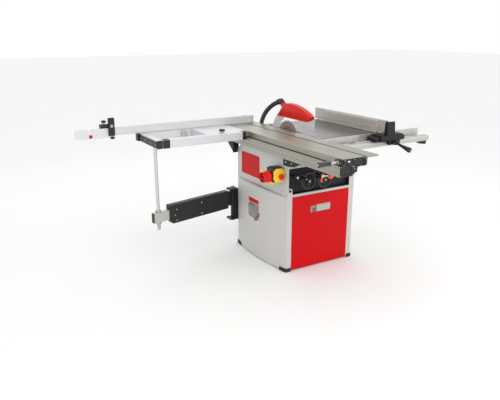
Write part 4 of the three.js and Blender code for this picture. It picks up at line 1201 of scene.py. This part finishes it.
# ---- crosscut fence, its extension and flip stop ----
def crosscut_pieces():
    fence = Span("crosscut_fence")
    wall = 4
    top_slot = [(764, fence.z1), (764, fence.z1 - 5), (769, fence.z1 - 5), (769, fence.z1)]
    outline = [
        *grooved((fence.y0, fence.z1), (764, fence.z1), [4]), *top_slot,
        (fence.y1, fence.z1), *grooved((fence.y1, fence.z1), (fence.y1, fence.z0), [20, 34])[1:],
        (fence.y1, fence.z0), (fence.y0, fence.z0),
        *grooved((fence.y0, fence.z0), (fence.y0, fence.z1), [5, 45], 1.2, 0.8)[1:],
    ]
    chamber = rectangle((fence.y0 + wall, fence.y1 - wall), (fence.z0 + wall, fence.z1 - wall - 3))
    built(
        "crosscut_fence_extrusion", WHITE_ALUMINIUM_X, "fence",
        (prism, "x", outline, *fence.x, [chamber]), edge=0.5, replaces=["crosscut_fence"],
    )
    right_cap = fillet(rectangle(fence.y, fence.z), 2)
    built(
        "fence_right_cap", BLACK_PLASTIC, "fence",
        (prism, "x", right_cap, fence.x1, fence.x1 + 3), edge=0.8
    )
    pivot = [(0, 0), (9, 0), (9, -3), (6, -4.5), (0, -4.5)]
    built(
        "fence_pivot_cap", STEEL, "fence", (lathe, (SLOT_X, 766.5, fence.z1 - 0.4), -UP, pivot, 28)
    )

    shoe = Span("fence_extension")
    shoe_end = fence.x0 - 1.5
    notch = (-1012, -990)
    side = [
        (shoe.x0 + 4, shoe.z1), (notch[0], shoe.z1), (notch[0] + 2, shoe.z1 - 12),
        (notch[1] - 2, shoe.z1 - 12),
        (notch[1], shoe.z1), (shoe_end, shoe.z1), (shoe_end, shoe.z0 + 6), (shoe_end - 4, shoe.z0),
        (shoe.x0 + 16, shoe.z0), (shoe.x0, shoe.z0 + 9), (shoe.x0, shoe.z1 - 4),
    ]
    inner = 4.6
    bar_x = (shoe_end - 5, shoe.x1)
    built(
        "fence_extension_shoe", WHITE_ALUMINIUM_X, "extension",
        (prism, "y", side, fence.y0, fence.y0 + 20),
        (box, bar_x, (fence.y0 + inner, fence.y1 - inner), (fence.z0 + inner, fence.z1 - wall - 3.6)),
        edge=0.9, replaces=["fence_extension"],
    )
    pane = fillet(rectangle((-1012, -991), (866, 887)), 2)
    built(
        "extension_scale_window", RED_PLASTIC, "extension",
        (prism, "y", pane, fence.y0 - 1.2, fence.y0 - 0.1), edge=0.4
    )
    # A black sheet fills the scale window's hole: painted shade standing for the dark inside it.
    hole = fillet(rectangle((-1007, -996), (870, 880)), 1.5)
    built(
        "extension_scale_hole_shade", BLACK_PLASTIC, "extension",
        (prism, "y", hole, fence.y0 - 1.7, fence.y0 - 1.1), edge=0.2
    )

    stop = Span("stop_bar")
    pin_x = (stop.x0 + stop.x1) / 2
    pin_z = 936
    profile = fillet(rectangle((stop.x0, stop.x1), (stop.z0, stop.z1)), 3)
    bore = circle(pin_x, pin_z, 6.5, 28)
    built(
        "stop_bar_extrusion", BLACK_PAINT, "flip_stop",
        (prism, "y", profile, *stop.y, [bore]), edge=1.2, replaces=["stop_bar"],
    )
    ribs = [
        (
            box, (x, x + 2.2), (stop.y0 - 1.1, stop.y0 + 0.3), (stop.z0 + 4, stop.z1 - 4)
        ) for x in (stop.x0 + 3, stop.x1 - 5.2)
    ]
    built("stop_bar_ribs", BLACK_PAINT, "flip_stop", *ribs, edge=0.4)
    washer = [(10, 0), (10, 1.6), (8, 2.2), (6.3, 2.2), (6.3, 0)]
    built(
        "stop_pin_washer", STEEL, "stop_saddle",
        (lathe, (pin_x, stop.y0 - 3, pin_z), BACK, washer, 28, True)
    )
    bolts("stop_pin_bolt", STEEL, "stop_saddle", [(pin_x, stop.y0 - 3, pin_z)], -BACK, 6)
    knob_piece("stop_clamp_knob", "stop_knob", "stop_clamp", 15, 5, UP)
    knob_piece("extension_clamp_knob", "extension_knob", "extension_clamp", 15, 5, -UP)


crosscut_pieces()


# ---- swinging support arm ----
PIN = Vector((-22, 668, 0))
ROD_TOP = Vector((-660, 530, 0))


def arm_trim():
    along = (ROD_TOP - PIN).normalized()
    face_way = UP.cross(along)
    if face_way.y > 0:
        face_way = -face_way
    arm_half = 20
    places = [(520, 373), (533, 334), (520, 296), (307, 376), (307, 299)]
    heads = [PIN + along * run + face_way * arm_half + UP * z for run, z in places]
    bolts("arm_bolts", STEEL, "swing_arm", heads, face_way, 5)
    rear_heads = [PIN + along * run - face_way * arm_half + UP * z for run, z in places]
    bolts("arm_rear_bolts", STEEL, "swing_arm", rear_heads, -face_way, 5)
    cap_half = (14.2, 33.2)
    start = PIN + along * 690.5
    corners = [
        start + face_way * sy * cap_half[0] + UP * (345 + sz * cap_half[1]) for sy,
        sz in ((-1, -1), (1, -1), (1, 1), (-1, 1))
    ]
    bm = bmesh.new()
    near = [bm.verts.new(c) for c in corners]
    far = [bm.verts.new(c + along * 5.5) for c in corners]
    bridge(bm, near, far)
    bm.faces.new(near)
    bm.faces.new(far)
    piece("inner_tube_end_cap", bm, BLACK_PLASTIC, "arm_slide", 1.2)

    support = Span("support_rod")
    radius = 11
    shank = [
        (radius - 1.5, 0), (radius, 1.5), (radius, support.z1 - support.z0 - 1.5),
        (radius - 1.5, support.z1 - support.z0)
    ]
    foot = ROD_TOP + UP * support.z0
    built(
        "support_rod_shank", CHROME, "arm_slide", (lathe, foot, UP, shank, 40),
        replaces=["support_rod"]
    )
    thread = bmesh.new()
    profile = []
    for turn in range(60):
        low = 3 + turn * 2
        profile += [(radius - 0.5, low), (radius + 0.5, low + 1)]
    lathe(thread, foot, UP, profile, 32)
    piece("support_rod_thread", thread, STEEL, "arm_slide")
    tube = Span("inner_tube")
    for name, seat, way in (("upper", tube.z1 + 2.4, UP), ("lower", tube.z0 - 2.4, -UP)):
        place = ROD_TOP + UP * seat
        built(f"rod_{name}_nut", STEEL, "arm_slide", (nut, place, way, 18, 13))
        built(
            f"rod_{name}_washer", STEEL, "arm_slide",
            (lathe, place, -way, [(19.5, 0), (19.5, 2), (0, 2)], 36)
        )

    pin = Span("arm_pin")
    for name, seat, way in (("top", pin.z1, UP), ("bottom", pin.z0, -UP)):
        place = PIN + UP * seat
        built(f"hinge_pin_{name}_cap", STEEL, "base", (nut, place, way, 13, 7))
    bracket = Span("arm_bracket")
    wall_heads = [(x, bracket.y0 + 7, z) for x in (24, 52) for z in (230, 378)]
    bolts("arm_bracket_bolts", STEEL, "base", wall_heads, BACK, 6)
    ear_heads = [(bracket.x0 + 8, 650, 414.5), (bracket.x0 + 8, 650, 193.5)]
    bolts(
        "arm_bracket_ear_bolts", STEEL, "base", [Vector(p) - RIGHT * 8 for p in ear_heads], -RIGHT,
        3.8
    )


arm_trim()


# ---- cast table and front rail ----
def rail_outline(rail, radius, step):
    """The rail's section: round at the front, with a shallow step between its two beads."""
    low = arc(rail.y0 + radius, rail.z0 + radius, radius, 270, 180)
    high = arc(rail.y0 + radius, rail.z1 - radius, radius, 180, 90)
    middle = (rail.z0 + rail.z1) / 2
    channel = [
        (rail.y0, middle - 5), (rail.y0 + step, middle - 4), (rail.y0 + step, middle + 4),
        (rail.y0, middle + 5),
    ]
    return [(rail.y1, rail.z1), (rail.y1, rail.z0), *low, *(channel if step else []), *high]


def table_and_rail():
    insert = Span("table_insert")
    seats = [((insert.x0 + insert.x1) / 2, y, insert.z1) for y in (insert.y0 + 14, insert.y1 - 14)]
    bolts("insert_screws", STEEL, "base", seats, UP, 2.6)
    angle_front = -37.3
    angle_heads = [(x, angle_front, 846) for x in (300, 480, 660, 860, 1030)]
    bolts("rail_angle_bolts", STEEL, "base", angle_heads, -BACK, 5)

    rail = Span("front_rail")
    chamber = rectangle((rail.y0 + 6, rail.y1 - 5), (rail.z0 + 5, rail.z1 - 5))
    built(
        "front_rail_extrusion", ALUMINIUM_X, "base",
        (prism, "x", rail_outline(rail, 12, 2.2), *rail.x, [chamber]), edge=0.5, replaces=["front_rail"],
    )
    for name, start, end in (("left", rail.x0 - 3, rail.x0 - GAP), ("right", rail.x1 - 0.4, rail.x1 + 2.2)):
        cap = (prism, "x", rail_outline(rail, 12, 0), start, end)
        built(f"front_rail_{name}_cap", BLACK_PLASTIC, "base", cap, edge=0.8)
    under = [(1010, rail.z0 - GAP), (1094, rail.z0 - GAP), (1090, 762), (1032, 770)]
    bracket = (prism, "y", under, rail.y0 + 8, rail.y1 - 4)
    built("rail_end_bracket", BLACK_CASTING, "base", bracket, edge=1.6)
    # Measuring tape let into the rail's top: plain ticks.
    ticks = bmesh.new()
    for number in range(82):
        x = rail.x0 + 12 + 10 * number
        long = 9 if number % 10 == 0 else 6.5 if number % 5 == 0 else 4
        box(ticks, (x, x + 0.7), (rail.y1 - 14, rail.y1 - 14 + long), (rail.z1 - 0.1, rail.z1 + 0.12))
    piece("rail_tape_ticks", ticks, BLACK_PLASTIC, "base")


# ---- rip fence ----
LEVER_PIVOT = Vector((752, -155, 812))


def rip_fence_pieces():
    head = Span("fence_head")
    bar = Span("rip_fence_bar")
    face = Span("rip_fence_face")
    foot_top = 868
    y0 = -140  # the casting's front: only the ears stand out before it
    post = [
        (y0, foot_top - 6), (y0 + 1.5, 900), (y0 + 5, 936), *arc(y0 + 17, 940, 11.8, 175, 10),
        (y0 + 31, 900), (y0 + 36, foot_top - 6),
    ]
    foot = [
        (y0 + 2, foot_top - 9), *arc(y0 + 9, foot_top - 8, 8, 170, 90, 5), (head.y1 - 6, foot_top),
        (head.y1, foot_top - 5), (head.y1, 827), (y0, 827), (y0, foot_top - 16),
    ]
    skirt = [(y0, 829), (y0 + 24, 829), (y0 + 24, 803), (y0 + 20, 800), (y0 + 4, 800), (y0, 803)]
    wing = (827, foot_top - 12)
    ear = [
        (y0 + 2, 801), (y0 + 2, 823), (LEVER_PIVOT.y + 4, 823),
        *arc(LEVER_PIVOT.y, LEVER_PIVOT.z, 11, 90, 270, 10), (LEVER_PIVOT.y + 4, 801),
    ]
    near, far = 12.2, 19.0
    built(
        "rip_fence_casting", BLACK_CASTING, "rip_fence",
        (prism, "x", foot, head.x0 + 34, head.x1 - 26),
        (prism, "x", skirt, 704, 800),
        (prism, "x", post, bar.x0 - 6, bar.x1 + 34),
        (prism, "y", fillet(rectangle((head.x0, head.x0 + 42), wing), 5), y0 + 10, head.y1),
        (prism, "y", fillet(rectangle((head.x1 - 34, head.x1), wing), 5), y0 + 10, head.y1),
        (prism, "x", ear, LEVER_PIVOT.x - far, LEVER_PIVOT.x - near),
        (prism, "x", ear, LEVER_PIVOT.x + near, LEVER_PIVOT.x + far),
        edge=2.2, segments=3, replaces=["fence_head"],
    )
    pin = (rod, LEVER_PIVOT - RIGHT * 21, LEVER_PIVOT + RIGHT * 21, 4.8)
    built("rip_lever_pin", STEEL, "rip_fence", pin)

    hand_end = Vector((0, -114, -25))
    out = hand_end.normalized()
    handle = [
        (0, 7), (8, 7.4), (7.6, 12), (8, 28), (10, 52), (13, 80), (16, 104), (17.4, 116), (17, 123),
        (14, 128.6),
        (8, 131), (0, 131.4),
    ]
    built(
        "rip_lever_handle", BLACK_PLASTIC, "rip_lever",
        (lathe, LEVER_PIVOT, out, handle, 40),
        (
            lathe, LEVER_PIVOT - RIGHT * 11, RIGHT,
            [(5.4, 0), (12.2, 0), (13, 1), (13, 21), (12.2, 22), (5.4, 22)], 40, True
        ),
        replaces=["fence_lever"],
    )
    tip = LEVER_PIVOT + out * 131
    built(
        "rip_lever_end_plug", ALUMINIUM_X, "rip_lever",
        (lathe, tip, out, [(5.4, -0.4), (5, 0.6), (0, 1)], 28)
    )

    wall = 3.5
    outline = [
        *grooved((bar.x0, bar.z1), (bar.x1, bar.z1), [8, 18]),
        *grooved((bar.x1, bar.z1), (bar.x1, bar.z0), [14, 38, 62]),
        *grooved((bar.x1, bar.z0), (bar.x0, bar.z0), []),
        *grooved((bar.x0, bar.z0), (bar.x0, bar.z1), []),
    ]
    chamber = rectangle((bar.x0 + wall, bar.x1 - wall), (bar.z0 + wall, bar.z1 - wall))
    built(
        "rip_fence_extrusion", FENCE_ALUMINIUM, "rip_fence",
        (prism, "y", outline, *bar.y, [chamber]), edge=0.4, replaces=["rip_fence_bar"],
    )
    lip = 2
    slots = [24, 58]
    left_side = [(face.x0, face.z0)]
    for low in slots:
        z = face.z0 + low
        left_side += [(face.x0, z), (face.x0 + lip, z), (face.x0 + lip, z + 3), (face.x0, z + 3)]
    section = [
        (face.x0, face.z1), *grooved((face.x0, face.z1), (face.x1, face.z1), [7, 14])[1:],
        (face.x1, face.z1), (face.x1, face.z0), *left_side,
    ]
    built(
        "rip_fence_face_extrusion", FENCE_ALUMINIUM, "rip_fence",
        (prism, "y", section, *face.y), edge=0.4, replaces=["rip_fence_face"],
    )
    clamps = [(face.x0, y, face.z0 + 25.5) for y in (20, 96)]
    bolts("fence_face_clamp_nuts", STEEL, "rip_fence", clamps, -RIGHT, 5.5)
    bolts(
        "fence_face_screws", STEEL, "rip_fence", [(face.x0, y, face.z0 + 59.5) for y in (20, 96)],
        -RIGHT, 3.6
    )
    rear_cap = (prism, "y", fillet(rectangle(bar.x, bar.z), 3), bar.y1 + GAP, bar.y1 + 3.2)
    built("rip_fence_rear_cap", BLACK_PLASTIC, "rip_fence", rear_cap, edge=0.8)


table_and_rail()
rip_fence_pieces()


# ---- blade ----
BLADE = Span("saw_blade")
BLADE_CENTRE = Vector(((BLADE.x0 + BLADE.x1) / 2, (BLADE.y0 + BLADE.y1) / 2, (BLADE.z0 + BLADE.z1) / 2))


def around_blade(radius, degrees):
    angle = math.radians(degrees)
    return BLADE_CENTRE.y + radius * math.cos(angle), BLADE_CENTRE.z + radius * math.sin(angle)


def blade_pieces():
    teeth = 40
    pitch = 360 / teeth
    plate_half = 1.1
    radius = 125
    look = blade_steel("blade_steel", tuple(at(*BLADE_CENTRE)))
    disc = []
    for number in range(teeth):
        # Each tooth: its back falls away from the tip to a round gullet in front of the next one.
        start = number * pitch
        for share, drop in (
            (0, 3), (0.02, 1.2), (0.3, 3.2), (0.5, 6.5), (0.66, 11), (0.8, 12.6), (0.92, 11.6), (0.985, 8)
        ):
            disc.append(around_blade(radius - drop, start + share * pitch))
    slots = []
    for number in range(4):
        middle = 90 * number + 31
        round_end = [around_blade(88 + 2.2 * math.cos(t), middle + math.degrees(2.2 * math.sin(t) / 88))
                     for t in (2 * math.pi * n / 14 for n in range(14))]
        slots.append(round_end)
    bore = circle(BLADE_CENTRE.y, BLADE_CENTRE.z, 12.4, 40)
    body = (prism, "x", disc, BLADE_CENTRE.x - plate_half, BLADE_CENTRE.x + plate_half, [bore, *slots])
    built("saw_blade_plate", look, "spindle", body, edge=0.2, replaces=["saw_blade"], slot="steel")
    tips = bmesh.new()
    for number in range(teeth):
        start = number * pitch
        shape = [around_blade(radius, start + 0.2), around_blade(radius - 1.4, start + 1.9),
                 around_blade(radius - 8, start + 1.5), around_blade(radius - 8.4, start - 0.25)]
        prism(tips, "x", shape, BLADE.x0, BLADE.x1)
    piece("carbide_tips", tips, KNIFE_STEEL, "spindle")
    built(
        "blade_flange_ring", STEEL, "spindle",
        (
            lathe, (BLADE.x0 - 5.2, BLADE_CENTRE.y, BLADE_CENTRE.z), -RIGHT,
            [(24, 0), (23, 1), (17, 1), (16.5, 0)], 40, True
        ),
    )


blade_pieces()


# ---- blade guard: its shell, spigot, bolts and the elbow to the hose ----
def bezier(points, steps):
    """Points on a Bezier curve, without its last one."""
    line = []
    for n in range(steps):
        t = n / steps
        left = [Vector(p) for p in points]
        while len(left) > 1:
            left = [a.lerp(b, t) for a, b in zip(left, left[1:])]
        line.append(tuple(left[0]))
    return line


GUARD_BOLT = Vector((243, 426, 970))
ELBOW_ROUTE = [
    (243, 423.5, 1036.6), (243.2, 430.5, 1042.8), (247, 446, 1050.5), (254, 464, 1053),
    (260.5, 482, 1050.5),
    (265.5, 499, 1045.6), (266, 507, 1042.8),
]


def guard_pieces():
    top = 870
    half = 20
    wall = 3
    nose = bezier([(132, top + 87), (92, top + 96), (88, top + 118)], 10)
    crown = bezier([(88, top + 118), (130, top + 146), (235, top + 184), (340, top + 182)], 22)
    rear = bezier([(340, top + 182), (384, top + 180), (402, top + 160)], 8)
    rim = [(132, top + 84), *nose[1:], *crown, *rear, (402, top + 160), (474, top + 84)]
    bm = bmesh.new()
    # The shell is open below: two cheeks and the strip that joins them over the top.
    rings = []
    # The crown rounds over in quarter circles towards both cheeks.
    rounding = 5
    turns = [share * math.pi / 2 for share in (0, 0.16, 0.4, 0.75, 1)]
    offsets = [
        (half - rounding + rounding * math.sin(turn), rounding * (1 - math.cos(turn))) for turn in turns
    ]
    levels = [(-x, inset) for x, inset in reversed(offsets)] + offsets
    centre = Vector((290, top + 105))
    for x, inset in levels:
        ring = []
        for y, z in rim:
            inward = (centre - Vector((y, z)))
            reach = inset / max(inward.length, 1)
            low = z <= top + 84.5
            ring.append(
                bm.verts.new((GUARD_BOLT.x + x, y + inward.x * reach, z if low else z + inward.y * reach))
            )
        rings.append(ring)
    for near, far in zip(rings, rings[1:]):
        for n in range(len(rim) - 1):
            bm.faces.new((near[n], near[n + 1], far[n + 1], far[n]))
    bm.faces.new(rings[0])
    bm.faces.new(rings[-1])
    bmesh.ops.recalc_face_normals(bm, faces=bm.faces)
    guard = piece("guard_moulding", bm, GUARD_RED, "guard", replaces=["blade_guard"])
    shell = guard.modifiers.new("wall", "SOLIDIFY")
    shell.thickness = wall * MM
    shell.offset = -1
    spigot_base = Vector((243, 398, top + 143.6))
    spigot_end = Vector((243, 422, top + 165.2))
    way = spigot_end - spigot_base
    socket = [(22, -4), (21, 2), (19.2, 6), (19, way.length - 2), (20.4, way.length - 1), (
        20.4, way.length + 1.5
    ),
              (17.6, way.length + 1.5), (17.6, -4)]
    built("guard_spigot", GUARD_RED, "guard", (lathe, spigot_base, way, socket, 44, True))
    lip = bmesh.new()
    for side in (-1, 1):
        x = GUARD_BOLT.x + side * (half + 0.4)
        prism(
            lip, "x", [(134, top + 84.4), (472, top + 84.4), (465, top + 91), (138, top + 91)], x - 0.9,
            x + 0.9
        )
    piece("guard_lip", lip, GUARD_RED, "guard", 0.6)
    for side in (-1, 1):
        seat = GUARD_BOLT + RIGHT * side * (half + 0.2)
        name = "left" if side < 0 else "right"
        boss = [(11, 0), (10.4, 1.8), (8.5, 2.6), (0, 2.6)]
        built(
            f"guard_boss_{name}", GUARD_RED, "guard", (lathe, seat, RIGHT * side, boss, 36)
        )
        head = (nut, seat + RIGHT * side * 2.4, RIGHT * side, 6.4, 4.4)
        built(f"guard_bolt_{name}", BLACK_PLASTIC, "guard", head)


def elbow_pieces():
    line = smooth_line(ELBOW_ROUTE, 1.2)
    total = sum((b - a).length for a, b in zip(line, line[1:]))

    def radius_at(run, angle):
        ends = min(run, total - run)
        collar = 1.9 if ends < 9 else 1.9 * max(0.0, 1 - (ends - 9) / 2)
        return 17.2 + collar

    bm = bmesh.new()
    sweep(bm, line, radius_at, 40)
    piece("guard_elbow_moulding", bm, RUBBER, "guard", replaces=["guard_elbow"])
    start = Vector(HOSE_ROUTE[0])
    way = Vector(HOSE_ROUTE[1]) - start
    cuff = [(16.4, -2), (19.4, -2), (19.8, -1), (19.8, 7), (18.6, 11), (17.2, 12), (16.4, 12)]
    built("hose_upper_cuff", RUBBER, "guard", (lathe, start, way, cuff, 44, True))
    band = [(19.6, 0), (20.5, 0.5), (20.5, 5.5), (19.6, 6)]
    built("hose_upper_clamp", BLACK_PLASTIC, "guard", (lathe, start, way, band, 44, True))


guard_pieces()
elbow_pieces()


# ---- floor, lights ----
def make_floor():
    bm = bmesh.new()
    reach = 30000
    corners = [(-reach, -reach, 0), (reach, -reach, 0), (reach, reach, 0), (-reach, reach, 0)]
    bm.faces.new([bm.verts.new(at(*corner)) for corner in corners])
    mesh = bpy.data.meshes.new("floor")
    bm.to_mesh(mesh)
    bm.free()
    look = Look("pale_floor", 0.85)
    look.feed("Base Color", look.mix(look.noise(900, 2), rgb("f4f4f3"), rgb("f8f8f8")))
    mesh.materials.append(look.material)
    floor = bpy.data.objects.new("floor", mesh)
    bpy.context.scene.collection.objects.link(floor)


def softbox(name, place, aim, size, watts, colour=(1, 1, 1)):
    data = bpy.data.lights.new(name, "AREA")
    data.shape = "RECTANGLE"
    data.size, data.size_y = size
    data.energy = watts
    data.color = colour
    lamp = bpy.data.objects.new(name, data)
    lamp.location = at(*place)
    lamp.rotation_euler = (at(*aim) - at(*place)).to_track_quat("-Z", "Y").to_euler()
    bpy.context.scene.collection.objects.link(lamp)


def make_light():
    world = bpy.data.worlds.new("studio")
    world.use_nodes = True
    background = world.node_tree.nodes["Background"]
    background.inputs["Color"].default_value = (1.0, 1.0, 1.0, 1.0)
    background.inputs["Strength"].default_value = 1.0
    bpy.context.scene.world = world
    middle = (200, 300, 600)
    softbox("key", (-300, -3300, 2500), middle, (2.2, 1.6), 30)
    softbox("fill", (3000, -1500, 1500), middle, (2.0, 2.0), 6, (1.0, 0.97, 0.94))
    softbox("rim", (600, 3200, 2300), middle, (3.0, 1.2), 7)
    bpy.context.scene.view_settings.view_transform = "Standard"


make_floor()
make_light()
